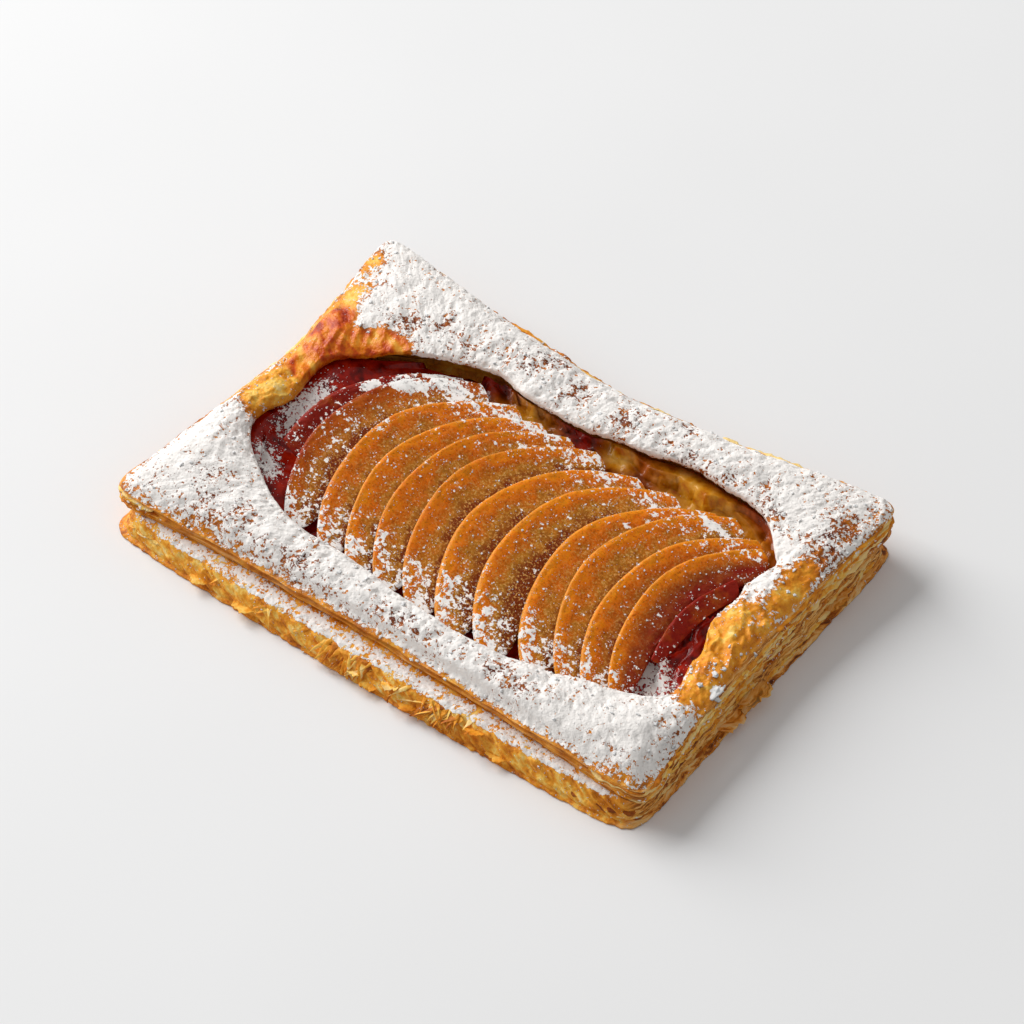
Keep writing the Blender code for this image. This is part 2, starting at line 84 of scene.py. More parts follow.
def piece_from(name, points, face_sets, material, values=None):
    """A mesh object from points, sets of faces and per-point values, riding on the tart's one body."""
    points = np.asarray(points, float)
    if sum(signed_volume(points, faces) for faces in face_sets) < 0:
        face_sets = [faces[:, ::-1] for faces in face_sets]
    mesh = bpy.data.meshes.new(name)
    mesh.from_pydata((points - MIDDLE).tolist(), [], [f for faces in face_sets for f in faces.tolist()])
    for key, value in (values or {}).items():
        layer = mesh.attributes.new(key, "FLOAT", "POINT")
        layer.data.foreach_set("value", np.asarray(value, np.float32).ravel())
    mesh.shade_smooth()
    mesh.materials.append(material)
    piece = bpy.data.objects.new(name, mesh)
    bpy.context.scene.collection.objects.link(piece)
    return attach(piece, "root")


def torus_piece(name, grid, material, values):
    """A piece from a (rows, columns, 3) grid that wraps both ways."""
    rows, columns = grid.shape[:2]
    return piece_from(name, grid.reshape(-1, 3), [grid_faces(rows, columns, True)], material, values)


def poled_piece(name, grid, material, values):
    """A piece from a (rows, columns, 3) grid whose first and last rows each shrink to one pole point."""
    rows, columns = grid.shape[:2]

    def with_poles(field):
        flat = field[1:-1].reshape(-1, *field.shape[2:])
        return np.concatenate([field[:1].mean(1), flat, field[-1:].mean(1)])

    inner = rows - 2
    faces = [
        grid_faces(inner, columns, False) + 1,
        pole_faces(0, 1, columns, True),
        pole_faces(1 + inner * columns, 1 + (inner - 1) * columns, columns, False),
    ]
    return piece_from(name, with_poles(grid), faces, material, {k: with_poles(v) for k, v in values.items()})


# %% [markdown]
# Baked and dusted things are irregular at every scale, so relief comes from gradient noise. Each corner of a
# unit lattice gets a fixed random direction. A point's noise is the blend, over its cell's eight corners, of
# the direction's dot product with the way from that corner to the point. It is smooth, averages nought and
# repeats exactly on every run, and it works on whole arrays of points at once.

# %% Noise
DIRECTIONS = np.random.default_rng(7).normal(size=(4096, 3))
DIRECTIONS /= np.linalg.norm(DIRECTIONS, axis=1)[:, None]


def bumps(points, grain, seed=0):
    """Gradient noise, about -0.7 to 0.7, whose lumps are about grain across."""
    at = np.asarray(points, float) / grain
    cell = np.floor(at).astype(np.int64)
    within = at - cell
    fade = within**3 * (within * (within * 6 - 15) + 10)
    total = np.zeros(at.shape[:-1])
    for corner in np.ndindex(2, 2, 2):
        offset = np.array(corner)
        key = (cell + offset) * np.array([73856093, 19349663, 83492791])
        pick = (key[..., 0] ^ key[..., 1] ^ key[..., 2] ^ (seed * 2654435761)) & 4095
        weight = np.where(offset == 1, fade, 1 - fade).prod(-1)
        total += weight * (DIRECTIONS[pick] * (within - offset)).sum(-1)
    return total * 1.4


def rough(points, grain, octaves=3, seed=0):
    """Noise at several scales: each octave has half the grain and about half the height of the last."""
    return sum(bumps(points, grain / 2**o, seed + o) * 0.55**o for o in range(octaves))


def soft_spot(x, y, at, size, turn=0.0):
    """1 at a place, fading to 0 about size away from it along each of its own two axes."""
    cos, sin = math.cos(math.radians(turn)), math.sin(math.radians(turn))
    along, across = cos * (x - at[0]) + sin * (y - at[1]), cos * (y - at[1]) - sin * (x - at[0])
    return np.exp(-(((along / size[0]) ** 2 + (across / size[1]) ** 2) ** 1.5))


def ease(value, low, high):
    """0 below low, 1 above high, and an S-curve between."""
    t = np.clip((value - low) / (high - low), 0, 1)
    return t * t * (3 - 2 * t)


print("noise on a line of 2 mm:", bumps(np.linspace([0, 0, 0], [2 * mm, 0, 0], 5), 1 * mm).round(2))

# %% [markdown]
# The tart's plan repeats the model's: each sheet's sides are parabolas, and the window is an oval that strays
# in and out as torn pastry does. Heights round the tart ease between a few knots.

# %% Plan of the sheets and the window
LID_SIDES = {
    "right": (72.0 * mm, 70.2 * mm, 74.3 * mm),
    "left": (-74.0 * mm, -68.3 * mm, -70.4 * mm),
    "front": (-48.9 * mm, -46.4 * mm, -48.8 * mm),
    "back": (48.8 * mm, 43.0 * mm, 49.2 * mm),
}
BASE_SIDES = {
    "right": (70.2 * mm, 71.4 * mm, 72.8 * mm),
    "left": (-70.6 * mm, -67.4 * mm, -70.4 * mm),
    "front": (-51.4 * mm, -52.9 * mm, -50.4 * mm),
    "back": (46.6 * mm, 42.6 * mm, 47.4 * mm),
}
CORNER_POWER = 22
WINDOW_HALF = (60.0 * mm, 32.0 * mm)
WINDOW_CENTRE = (0.5 * mm, -3.6 * mm)
WINDOW_POWER = 2.7
WINDOW_STRAYS = {
    2: -3.0, 12: -0.5, 22: 7.5, 33: 10.0, 46: 6.0, 64: 0.3, 90: -2.0, 114: -2.2, 126: 0.8, 156: -1.5,
    167: 1.2, 180: -1.8, 190: 1.6, 204: -0.3, 220: 1.2, 240: -0.5, 272: 1.2, 302: 2.6, 326: 2.8, 340: 6.6,
    352: 0.5,
}
EDGE_TOP = {
    0: 11.6, 33: 14.0, 60: 11.0, 90: 9.6, 120: 11.6, 146: 14.2, 160: 11.5, 172: 9.0, 185: 10.4, 200: 11.0,
    214: 10.2, 240: 9.3, 300: 9.4, 326: 10.2, 342: 12.0,
}
CREST_TOP = {
    0: 14.2, 33: 15.6, 60: 15.0, 90: 14.4, 120: 15.4, 146: 16.0, 160: 13.8, 172: 10.9, 185: 13.0, 205: 14.8,
    240: 14.0, 290: 14.0, 326: 15.2, 345: 13.6,
}
RIM_TOP = {
    0: 13.0, 33: 14.2, 60: 14.2, 90: 13.8, 120: 14.4, 146: 14.2, 160: 12.2, 172: 10.6, 185: 12.0, 205: 13.0,
    240: 13.2, 290: 13.4, 326: 13.4, 345: 12.4,
}
RIM_THICKNESS = 2.4 * mm
BASE_FLOOR = 3.0 * mm
BASE_LEDGE = 6.0 * mm
JOINT_GAP = 0.3 * mm


def around(angle, knots):
    """Value in metres at each angle, eased between the knots {degrees: mm} that go once round."""
    at = np.array(sorted(knots), float)
    value = np.array([knots[a] for a in sorted(knots)]) * mm
    at, value = np.append(at, at[0] + 360), np.append(value, value[0])
    degrees = (np.degrees(angle) - at[0]) % 360 + at[0]
    i = np.clip(np.searchsorted(at, degrees, side="right") - 1, 0, len(at) - 2)
    t = (degrees - at[i]) / (at[i + 1] - at[i])
    return value[i] + (value[i + 1] - value[i]) * t * t * (3 - 2 * t)


def oval(angle, half, power):
    """Distance from the middle to a superellipse in the direction angle."""
    x, y = np.abs(np.cos(angle) / half[0]), np.abs(np.sin(angle) / half[1])
    return (x**power + y**power) ** (-1 / power)


def side_at(values, t):
    """A sheet's side at t, from -1 at one corner to 1 at the other: a parabola through its three values."""
    start, middle, end = values
    return middle + (end - start) / 2 * t + ((start + end) / 2 - middle) * t**2


def sheet_edge(share, sides):
    """Points (x, y) evenly spaced round a pastry sheet, for shares from 0 to 1, starting at the right end."""
    half = (sides["right"][1], sides["back"][1])
    fine = np.linspace(0, 2 * math.pi, 4000)
    r = oval(fine, half, CORNER_POWER)
    x, y = r * np.cos(fine), r * np.sin(fine)
    run = np.append(0, np.cumsum(np.hypot(np.diff(x), np.diff(y))))
    angle = np.interp(share % 1.0, run / run[-1], fine)
    r = oval(angle, half, CORNER_POWER)
    u, v = r * np.cos(angle) / half[0], r * np.sin(angle) / half[1]
    left, right = side_at(sides["left"], v), side_at(sides["right"], v)
    front, back = side_at(sides["front"], u), side_at(sides["back"], u)
    return left + (right - left) * (u + 1) / 2, front + (back - front) * (v + 1) / 2


def window_edge(x, y):
    """The window rim's points (x, y) that face the given points of a sheet's edge."""
    angle = np.arctan2(y / LID_SIDES["back"][1], x / LID_SIDES["right"][1])
    angle = np.arctan2(np.sin(angle) * WINDOW_HALF[1], np.cos(angle) * WINDOW_HALF[0])
    r = oval(angle, WINDOW_HALF, WINDOW_POWER) + around(angle, WINDOW_STRAYS)
    return WINDOW_CENTRE[0] + r * np.cos(angle), WINDOW_CENTRE[1] + r * np.sin(angle)


def smooth_rows(control, at, wrap):
    """Rows at fractional places between control rows, on a Catmull-Rom curve through them."""
    count = len(control)
    i = np.floor(at).astype(int)
    t = (at - i).reshape(-1, *[1] * (control.ndim - 1))
    pick = [(i + step) % count if wrap else np.clip(i + step, 0, count - 1) for step in (-1, 0, 1, 2)]
    a, b, c, d = (control[p] for p in pick)
    return b + 0.5 * t * (c - a + t * (2 * a - 5 * b + 4 * c - d + t * (3 * (b - c) + d - a)))


def spaced(stops):
    """Places along a section: {from_row: how many places up to the next stop}, evenly spaced between stops."""
    edges = sorted(stops)
    return np.concatenate(
        [np.linspace(a, b, stops[a], endpoint=False) for a, b in zip(edges, edges[1:])]
    )


# %% [markdown]
# Where the finish changes over the pastry is a matter of place: sugar lies thick on the flat bands, thin on
# the steep front edge, and hardly at all where the crust bubbled up on the left and folded over on the right.
# Syrup has run over the low saddle on the left. These fields are soft spots in plan, and every piece of
# pastry reads them.

# %% Fields of sugar, gold and syrup
SYRUP_SPOTS = [
    ((-57 * mm, 11 * mm), (10 * mm, 9 * mm), 40), ((-61 * mm, 6 * mm), (5 * mm, 5 * mm), 0),
    ((-51 * mm, 18 * mm), (9 * mm, 5 * mm), 25), ((-63 * mm, 16 * mm), (5 * mm, 9 * mm), 0),
]
GOLD_SPOTS = [
    ((-62 * mm, -5 * mm), (7.5 * mm, 10.5 * mm), 0), ((-65 * mm, 17 * mm), (4.5 * mm, 19 * mm), 0),
    ((-67 * mm, 38 * mm), (2.5 * mm, 5 * mm), 0), ((64.5 * mm, -6 * mm), (9 * mm, 14 * mm), 0),
    ((66 * mm, -20 * mm), (6 * mm, 6 * mm), 0),
    ((67 * mm, 14 * mm), (3.5 * mm, 10 * mm), 0),
]
BROWN_SPOTS = [
    ((-38 * mm, 31 * mm), (9 * mm, 4 * mm), -20), ((-20 * mm, 34 * mm), (7 * mm, 4.5 * mm), 0),
    ((-4 * mm, 33 * mm), (5 * mm, 5 * mm), 0), ((10 * mm, 32 * mm), (5 * mm, 4.5 * mm), 0),
    ((30 * mm, 32 * mm), (11 * mm, 3 * mm), 0), ((50 * mm, 31 * mm), (8 * mm, 4 * mm), -30),
    ((-48 * mm, 27 * mm), (6 * mm, 3.5 * mm), 30), ((67 * mm, 31 * mm), (6 * mm, 10 * mm), 0),
    ((-46 * mm, -41 * mm), (10 * mm, 5 * mm), 0), ((-24 * mm, -43 * mm), (13 * mm, 3 * mm), 0),
    ((6 * mm, -42 * mm), (8 * mm, 3 * mm), 0), ((32 * mm, -42 * mm), (9 * mm, 3 * mm), 0),
    ((-57 * mm, -37 * mm), (9 * mm, 4 * mm), 40), ((23 * mm, 38 * mm), (3 * mm, 4 * mm), 0),
    ((-16 * mm, 38 * mm), (9 * mm, 3 * mm), 0),
]


def field(x, y, spots):
    """The strongest of several soft spots at each point."""
    return np.max([soft_spot(x, y, *spot) for spot in spots], axis=0)


# %% [markdown]
# The lid is the upper sheet of puff pastry with its window torn open. Its section is the model's: cut edge,
# crest, rim and underside. Here that section gets 82 rows instead of 18, and the surface gets what baking did
# to it: broad blisters, fine crumb, folds on the right where the layers slid, and ridges of lamination on the
# cut edge. Sugar is part of the same surface, because a dusting this thick has a height of its own.

# %% Lid surface
LID_AROUND = 1100
LAYER_DEPTH = 0.45 * mm
BLISTER = 0.55 * mm
CRUMB = 0.16 * mm
SUGAR_HEIGHT = 0.42 * mm
LEAF_PITCH = 0.85 * mm
LEAF_DEPTH = 0.34 * mm
NO_SUGAR = -0.6  # the value of the sugar field where there is none: half is half covered, and 1 is all but covered


def leaves_on_side(points, depth):
    """Ridges of lamination: a wave up the side whose height wanders, as leaves of dough do, along the edge."""
    wander = bumps(points * (1, 1, 0.3), 7 * mm, 21) * 1.3 * mm + bumps(points * (1, 1, 0.3), 2.2 * mm, 22) * 0.5 * mm
    wave = np.sin((points[..., 2] + wander) / LEAF_PITCH * 2 * math.pi)
    torn = 0.6 + 0.8 * bumps(points, 2.5 * mm, 23)
    return depth * (np.abs(wave) - 0.5) * torn


def lid_surface():
    """The band from window rim to cut edge: control rows of (distance out from the rim, height), smoothed."""
    share = np.linspace(0, 1, LID_AROUND, endpoint=False)
    out_x, out_y = sheet_edge(share, LID_SIDES)
    in_x, in_y = window_edge(out_x, out_y)
    width = np.hypot(out_x - in_x, out_y - in_y)
    angle = np.arctan2(out_y, out_x)
    edge, crest, rim = (around(angle, knots) for knots in (EDGE_TOP, CREST_TOP, RIM_TOP))
    under = np.full_like(edge, BASE_LEDGE + JOINT_GAP)
    roof = rim - RIM_THICKNESS

    def between(low, high, t):
        return low + (high - low) * t

    control = [
        (width + LAYER_DEPTH, between(under, edge, 0.46)),
        (width - LAYER_DEPTH, between(under, edge, 0.70)),
        (width + 0.4 * LAYER_DEPTH, between(under, edge, 0.96)),
        (width - 1.3 * mm, edge + 0.7 * mm),
        (width * 0.80, between(edge, crest, 0.68)),
        (width * 0.60, between(edge, crest, 0.97)),
        (width * 0.42, crest),
        (width * 0.25, between(rim, crest, 0.65)),
        (width * 0.10, rim + 0.2 * mm),
        (0.3 * mm + 0 * width, rim - 0.5 * mm),
        (0 * width, rim - 1.2 * mm),
        (0.4 * mm + 0 * width, roof + 0.2 * mm),
        (2.6 * mm + 0 * width, roof),
        (4.6 * mm + 0 * width, between(under, roof, 0.62)),
        (np.minimum(7.0 * mm, width - 2.2 * mm), under),
        (width - 1.0 * mm, under),
        (width - 0.5 * LAYER_DEPTH, between(under, edge, 0.10)),
        (width + 0.2 * LAYER_DEPTH, between(under, edge, 0.25)),
    ]
    control = np.array([np.stack(row) for row in control])
    at = spaced({0: 11, 2: 8, 3: 38, 9: 7, 11: 4, 13: 3, 15: 11, 18: 0})
    section = smooth_rows(control, at, wrap=True)
    out, z = section[:, 0], section[:, 1]
    x = in_x + (out_x - in_x) * out / width
    y = in_y + (out_y - in_y) * out / width
    outwards = np.stack([(out_x - in_x) / width, (out_y - in_y) / width, 0 * width], -1)
    place = at[:, None] + 0 * x
    return np.stack([x, y, z], -1), outwards, place, out / width


lid_grid, lid_out, lid_place, lid_share = lid_surface()
lid_x, lid_y = lid_grid[..., 0], lid_grid[..., 1]
lid_side = 1 - ease(lid_place, 1.9, 3.0) * (1 - ease(lid_place, 15.0, 15.9))
lid_top = ease(lid_place, 2.0, 2.6) * (1 - ease(lid_place, 10.4, 12.4))
lid_syrup = ease(field(lid_x, lid_y, SYRUP_SPOTS), 0.2, 0.6) * ease(lid_place, 2.2, 3.4) * (1 - ease(lid_place, 12, 13))
lid_gold = field(lid_x, lid_y, GOLD_SPOTS)
lid_brown = field(lid_x, lid_y, BROWN_SPOTS)
front_edge = ease(lid_share, 0.80, 1.0) * ease(-lid_y, 30 * mm, 44 * mm)
right_edge = ease(lid_x, 66 * mm, 70 * mm)
lid_dust = 0.98 - 1.10 * lid_gold - 0.34 * lid_brown - 0.42 * front_edge - 1.6 * lid_syrup - 0.18 * right_edge
lid_dust += 0.34 * rough(lid_grid, 7 * mm, 3, 31)
speckled_side = ease(lid_x, 66 * mm, 69 * mm) * ease(lid_y, 8 * mm, 20 * mm)
lid_sugar = NO_SUGAR + (np.clip(lid_dust, NO_SUGAR, 1.1) - NO_SUGAR) * lid_top
lid_sugar = np.maximum(lid_sugar, NO_SUGAR + (0.42 - NO_SUGAR) * lid_side * speckled_side)
print("lid grid", lid_grid.shape, "sugar field on average", round(float(lid_sugar[lid_top > 0.5].mean()), 2))

# %% [markdown]
# Relief goes on top of the smooth section. Folds on the right are noise stretched along the way the dough was
# pulled. Sugar lifts the surface where its field is high, in clumps about a millimetre across. The front edge
# was cut clean with a knife, so it keeps a smooth narrow face, and the other three sides show their leaves.

# %% Lid relief
FOLD_PITCH = 2.6 * mm
CUT_LIP = 0.45 * mm


def folds(points, turn, long_way):
    """Ridges like pulled dough: noise stretched along one direction, folded sharp by taking 1 - |noise|."""
    cos, sin = math.cos(math.radians(turn)), math.sin(math.radians(turn))
    along = (points[..., 0] * cos + points[..., 1] * sin) / long_way
    across = points[..., 1] * cos - points[..., 0] * sin
    stretched = np.stack([along, across, points[..., 2]], -1)
    return 1 - 3 * np.abs(bumps(stretched, FOLD_PITCH, 41))


right_lump = soft_spot(lid_x, lid_y, (64.5 * mm, -6 * mm), (8 * mm, 13 * mm))
left_lump = soft_spot(lid_x, lid_y, (-62 * mm, -6 * mm), (6 * mm, 10 * mm))
clumps = rough(lid_grid, 1.7 * mm, 3, 51)
cut_clean = ease(-lid_y, 38 * mm, 44 * mm) * ease(lid_share, 0.8, 0.95) * (1 - ease(lid_x, 64 * mm, 69 * mm))
lid_up = BLISTER * rough(lid_grid, 6 * mm, 2, 61) + CRUMB * rough(lid_grid, 1.3 * mm, 2, 63)
lid_up += 1.1 * mm * right_lump * (folds(lid_grid, -52, 2.4) + 0.35 + 0.5 * rough(lid_grid, 2.2 * mm, 2, 43)) + 0.45 * mm * left_lump * folds(lid_grid, 60, 3.0)
lid_up += 0.35 * mm * lid_syrup * folds(lid_grid, 100, 3.0)
lid_up += SUGAR_HEIGHT * ease(clumps + 0.9 * (lid_sugar - 0.5), -0.25, 0.45)
lid_away = leaves_on_side(lid_grid, LEAF_DEPTH) * (1 - 0.85 * cut_clean) + 0.45 * mm * bumps(lid_grid, 5.5 * mm, 65)
lip = np.exp(-(((lid_place - 2.15) / 0.3) ** 2)) - 0.9 * np.exp(-(((lid_place - 1.2) / 0.5) ** 2))
lid_away = lid_away * lid_side + CUT_LIP * cut_clean * lip
lid_points = lid_grid + lid_out * lid_away[..., None]
lid_points[..., 2] += lid_up * lid_top
print("lid relief mm", (lid_up.min() / mm).round(2), "to", (lid_up.max() / mm).round(2))

# %% [markdown]
# The base is the lower sheet. Only its ledge and its side are seen: the ledge caught the sugar that fell past
# the lid, and the side is the flakiest part of the tart. In front the leaves sheared and hang down over it as
# golden drapes, so the side there has slanting ridges and furrows instead of level ones. Its section goes from
# the middle of the dish out over the ledge, down the side and back along the flat underside.

# %% Base surface
BASE_AROUND = 1100
BASE_RINGS = 13
BASE_CRAGS = 1.1 * mm


def base_surface():
    """Rows from the middle of the top to the middle of the underside, as (x, y, z), smoothed between controls."""
    share = np.linspace(0, 1, BASE_AROUND, endpoint=False)
    out_x, out_y = sheet_edge(share, BASE_SIDES)
    in_x, in_y = window_edge(out_x, out_y)
    width = np.hypot(out_x - in_x, out_y - in_y)
    dish = np.minimum(width, 12.0 * mm)
    near = {0: (0.0, BASE_FLOOR), 1: (0.45, BASE_FLOOR), BASE_RINGS - 1: (0.5, 0.0), BASE_RINGS: (0.0, 0.0)}
    far = {
        2: (0.38 * dish, BASE_FLOOR),
        3: (0.55 * dish, BASE_LEDGE),
        4: (width - 5.0 * mm, BASE_LEDGE),
        5: (width - 2.9 * mm, BASE_LEDGE),
        6: (width - 1.7 * mm, 5.3 * mm),
        7: (width - 0.9 * mm, 4.2 * mm),
        8: (width - 0.4 * mm, 3.0 * mm),
        9: (width + 0.3 * mm, 2.0 * mm),
        10: (width + 0.1 * mm, 0.8 * mm),
        11: (width - 1.2 * mm, 0.0),
    }
    rows = []
    for ring in range(BASE_RINGS + 1):
        if ring in near:
            way_out, height = near[ring]
            x = WINDOW_CENTRE[0] + (out_x - WINDOW_CENTRE[0]) * way_out
            y = WINDOW_CENTRE[1] + (out_y - WINDOW_CENTRE[1]) * way_out
        else:
            out, height = far[ring]
            x = in_x + (out_x - in_x) * out / width
            y = in_y + (out_y - in_y) * out / width
        rows.append(np.stack([x, y, np.full_like(x, height)], -1))
    at = np.append(spaced({0: 3, 2: 3, 3: 3, 4: 14, 5: 6, 6: 28, 11: 3, 13: 0}), 13.0)
    outwards = np.stack([(out_x - in_x) / width, (out_y - in_y) / width, 0 * width], -1)
    grid = smooth_rows(np.array(rows), at, wrap=False)
    grid[..., 2] = np.maximum(grid[..., 2], 0.0)
    return grid, outwards, at[:, None] + 0 * grid[..., 0]


base_grid, base_out, base_place = base_surface()
base_x, base_y = base_grid[..., 0], base_grid[..., 1]
base_side = ease(base_place, 5.4, 6.4) * (1 - ease(base_place, 10.4, 11.0))
base_ledge = ease(base_place, 3.2, 4.0) * (1 - ease(base_place, 5.6, 6.4))
base_front = ease(-base_y, 42 * mm, 48 * mm) * (1 - ease(base_x, 66 * mm, 71 * mm))
DRAPE_PITCH = 3.4 * mm
DRAPE_DEPTH = 0.8 * mm


def drapes(points, slant, seed):
    """Slanting ridges on an upright side: noise over (along + slant x height), stretched up and down the side."""
    along = points[..., 0] + slant * points[..., 2] + 1.4 * mm * bumps(points, 7 * mm, seed + 1)
    stretched = np.stack([along, 0.2 * points[..., 2], 0.2 * points[..., 1]], -1)
    return 0.75 - 2.4 * np.abs(bumps(stretched, DRAPE_PITCH, seed)) - 0.3 * np.abs(bumps(stretched, 1.6 * mm, seed + 2))


base_push = 0.7 * BASE_CRAGS * rough(base_grid * (1, 1, 0.7), 5.5 * mm, 3, 71) * (1 - 0.55 * base_front)
base_push += leaves_on_side(base_grid, 0.42 * mm) * (1 - base_front)
base_push += DRAPE_DEPTH * drapes(base_grid, 1.8, 77) * base_front
base_points = base_grid + base_out * (base_push * base_side)[..., None]
on_ledge = ease(base_place, 3.9, 4.4) * (1 - ease(base_place, 8, 9))
base_points[..., 2] += (0.34 * mm * rough(base_grid, 2.4 * mm, 3, 73) - 0.08 * mm) * on_ledge
base_points[..., 2] = np.maximum(base_points[..., 2], 0.0)
base_dust = 0.72 + 0.40 * rough(base_grid, 6 * mm, 3, 75) - 0.8 * ease(base_x, 60 * mm, 70 * mm)
base_sugar = NO_SUGAR + (np.clip(base_dust, NO_SUGAR, 1.1) - NO_SUGAR) * base_ledge
base_sugar = np.maximum(base_sugar, -0.12 * base_front - 0.6 * (1 - base_front))
print("base grid", base_grid.shape)

# %% [markdown]
# The apple fan is thirteen half-moon slices, each leaning on the one before. The round side of a slice is an
# arc of the apple's own outline, the ends are blunt where the knife trimmed them along the window, and the
# section is a rounded box. The whole fan was pressed into the tart, so it lies flatter and lower towards its
# two long sides: there a slice keeps six tenths of its lean and of its thickness.

# %% Slice sizes and places
LEAN = math.radians(22)
# One row is the middle of a slice's round side (x, y), its top, its reach to the front end and to the back end
# and its width, all in mm, and its turn in degrees
SLICES = [
    (-48.6, 5.8, 12.6, 20.0, 25.0, 12.0, -23.0),
    (-43.9, 4.1, 14.1, 31.5, 26.5, 14.5, -18.0),
    (-34.0, 2.0, 14.2, 31.8, 27.5, 14.0, -16.0),
    (-26.4, -1.0, 14.5, 30.4, 29.0, 13.5, -12.2),
    (-19.2, -2.3, 14.7, 30.4, 30.0, 13.5, -9.4),
    (-11.4, -3.0, 14.7, 31.0, 30.5, 14.5, -7.5),
    (-1.3, -4.2, 14.7, 30.2, 31.5, 15.0, -8.0),
    (8.5, -3.2, 14.7, 31.0, 31.0, 15.0, -8.2),
    (20.3, -1.0, 14.6, 31.0, 30.0, 14.5, -10.0),
    (27.5, 1.5, 14.6, 31.4, 28.0, 13.5, -10.0),
    (36.1, -0.1, 14.4, 28.7, 27.0, 12.5, -10.5),
    (42.9, 1.5, 14.4, 29.0, 22.5, 10.0, -11.7),
    (52.6, 3.0, 13.4, 20.0, 7.5, 4.4, -15.5),
]
# How red each slice baked, from 0, amber, to 1, dark red, in the same order
SLICE_RED = (1.0, 0.85, 0.15, 0.0, 0.1, 0.15, 0.0, 0.0, 0.0, 0.0, 0.30, 0.85, 1.0)
SLICE_ROUND = 37.0 * mm
SLICE_BLUNTNESS = 5
SLICE_GAP = 0.6 * mm
SLICE_MARGIN = 0.7 * mm
SLICE_THICKEST = 3.3 * mm
FAN_TOP = 14.5 * mm
FAN_SAG = 2.0 * mm
FAN_FLAT = 0.6
FAN_MIDDLE_Y = -4.0 * mm
FAN_HALF_WIDTH = 32.0 * mm


def slice_sizes(number):
    """One row of the table, in metres and degrees."""
    row = SLICES[number]
    return (*[value * mm for value in row[:6]], row[6])


def half_moon(number, along, margin=0.0):
    """Start and width of the slice across at each place along it, 0 at its middle, and its share of the reach."""
    _, _, _, front, back, width, _ = slice_sizes(number)
    share = along / (np.where(along < 0, front, back) + margin)
    start = SLICE_ROUND - np.sqrt(np.maximum(SLICE_ROUND**2 - along**2, 0))
    return start, width * np.sqrt(np.maximum(1 - np.abs(share) ** SLICE_BLUNTNESS, 0)), share


def pressed(y, z):
    """Height z of the unpressed fan once it is pressed flatter and lower towards its two long sides."""
    way_out = np.abs((y - FAN_MIDDLE_Y) / FAN_HALF_WIDTH)
    relief = 1 - (1 - FAN_FLAT) * np.minimum(way_out, 1.1) ** 2.2
    return FAN_TOP + (z - FAN_TOP) * relief - FAN_SAG * way_out**2.4


def slice_face(number, x, y, margin=0.0):
    """Whether each (x, y) lies over the slice, or within margin of it, and its face's height there, unpressed."""
    at_x, at_y, top, _, _, _, turn = slice_sizes(number)
    cos, sin = math.cos(math.radians(turn)), math.sin(math.radians(turn))
    out = cos * (x - at_x) + sin * (y - at_y)
    along = cos * (y - at_y) - sin * (x - at_x)
    start, width, share = half_moon(number, along, margin)
    after = out > start * math.cos(LEAN) - margin
    before = out < (start + width) * math.cos(LEAN) + margin
    return after & before & (np.abs(share) < 1), top - out * math.tan(LEAN)


def slice_thickness(number):
    """As thick as the room that the slice has over the one below it, up to the thickest."""
    if number == 0:
        return SLICE_THICKEST
    x, y = np.meshgrid(np.linspace(-60 * mm, 66 * mm, 260), np.linspace(-40 * mm, 32 * mm, 160))
    over, face = slice_face(number, x, y, SLICE_MARGIN)
    over_last, last_face = slice_face(number - 1, x, y)
    room = (face - last_face)[over & over_last].min(initial=1.0)
    return min(SLICE_THICKEST, room * math.cos(LEAN) - SLICE_GAP)


THICKNESS = [slice_thickness(number) for number in range(len(SLICES))]
print("slice thickness mm", [round(t / mm, 1) for t in THICKNESS])

# %% [markdown]
# Baked apple is not smooth: the flesh shrinks between its fibres, and the skin side stands up as a soft lip
# that catches the light. The lip, the fibres and a slightly wandering outline are added to the plain slice.
# Two values go along for the finish: how far a point is from the skin, and how much sugar fell there.

# %% Slice surfaces
SLICE_RINGS = 130
SLICE_AROUND = 72
LIP = 0.22 * mm
DRIED_DEPTH = 0.35 * mm
SUGAR_STREAKS = [
    ((-31 * mm, 20.5 * mm), (11 * mm, 2.6 * mm), 12), ((-10 * mm, 22 * mm), (13 * mm, 1.6 * mm), 8),
    ((-38 * mm, 14 * mm), (9 * mm, 3 * mm), 35), ((44 * mm, 22 * mm), (9 * mm, 1.6 * mm), 0),
    ((-45 * mm, 9 * mm), (4 * mm, 3 * mm), 40),
]


def fan_sugar(x, y):
    """Sugar on the fan, 0 to 1: thin in the middle, thicker at both ends of the slices and in a few streaks."""
    back = ease(y, 6 * mm, 24 * mm)
    front = ease(-y, 17 * mm, 30 * mm)
    left = ease(-x, 18 * mm, 42 * mm) * 0.12
    spread = 0.26 + 0.34 * back * (1 - ease(x, 20 * mm, 50 * mm) * 0.3) + 0.35 * front + left
    streak = field(x, y, SUGAR_STREAKS)
    patchy = 0.26 * rough(np.stack([x, y, 0 * x], -1), 3.5 * mm, 3, 81)
    return np.clip(np.maximum(spread, 0.9 * streak) + patchy, 0, 1)


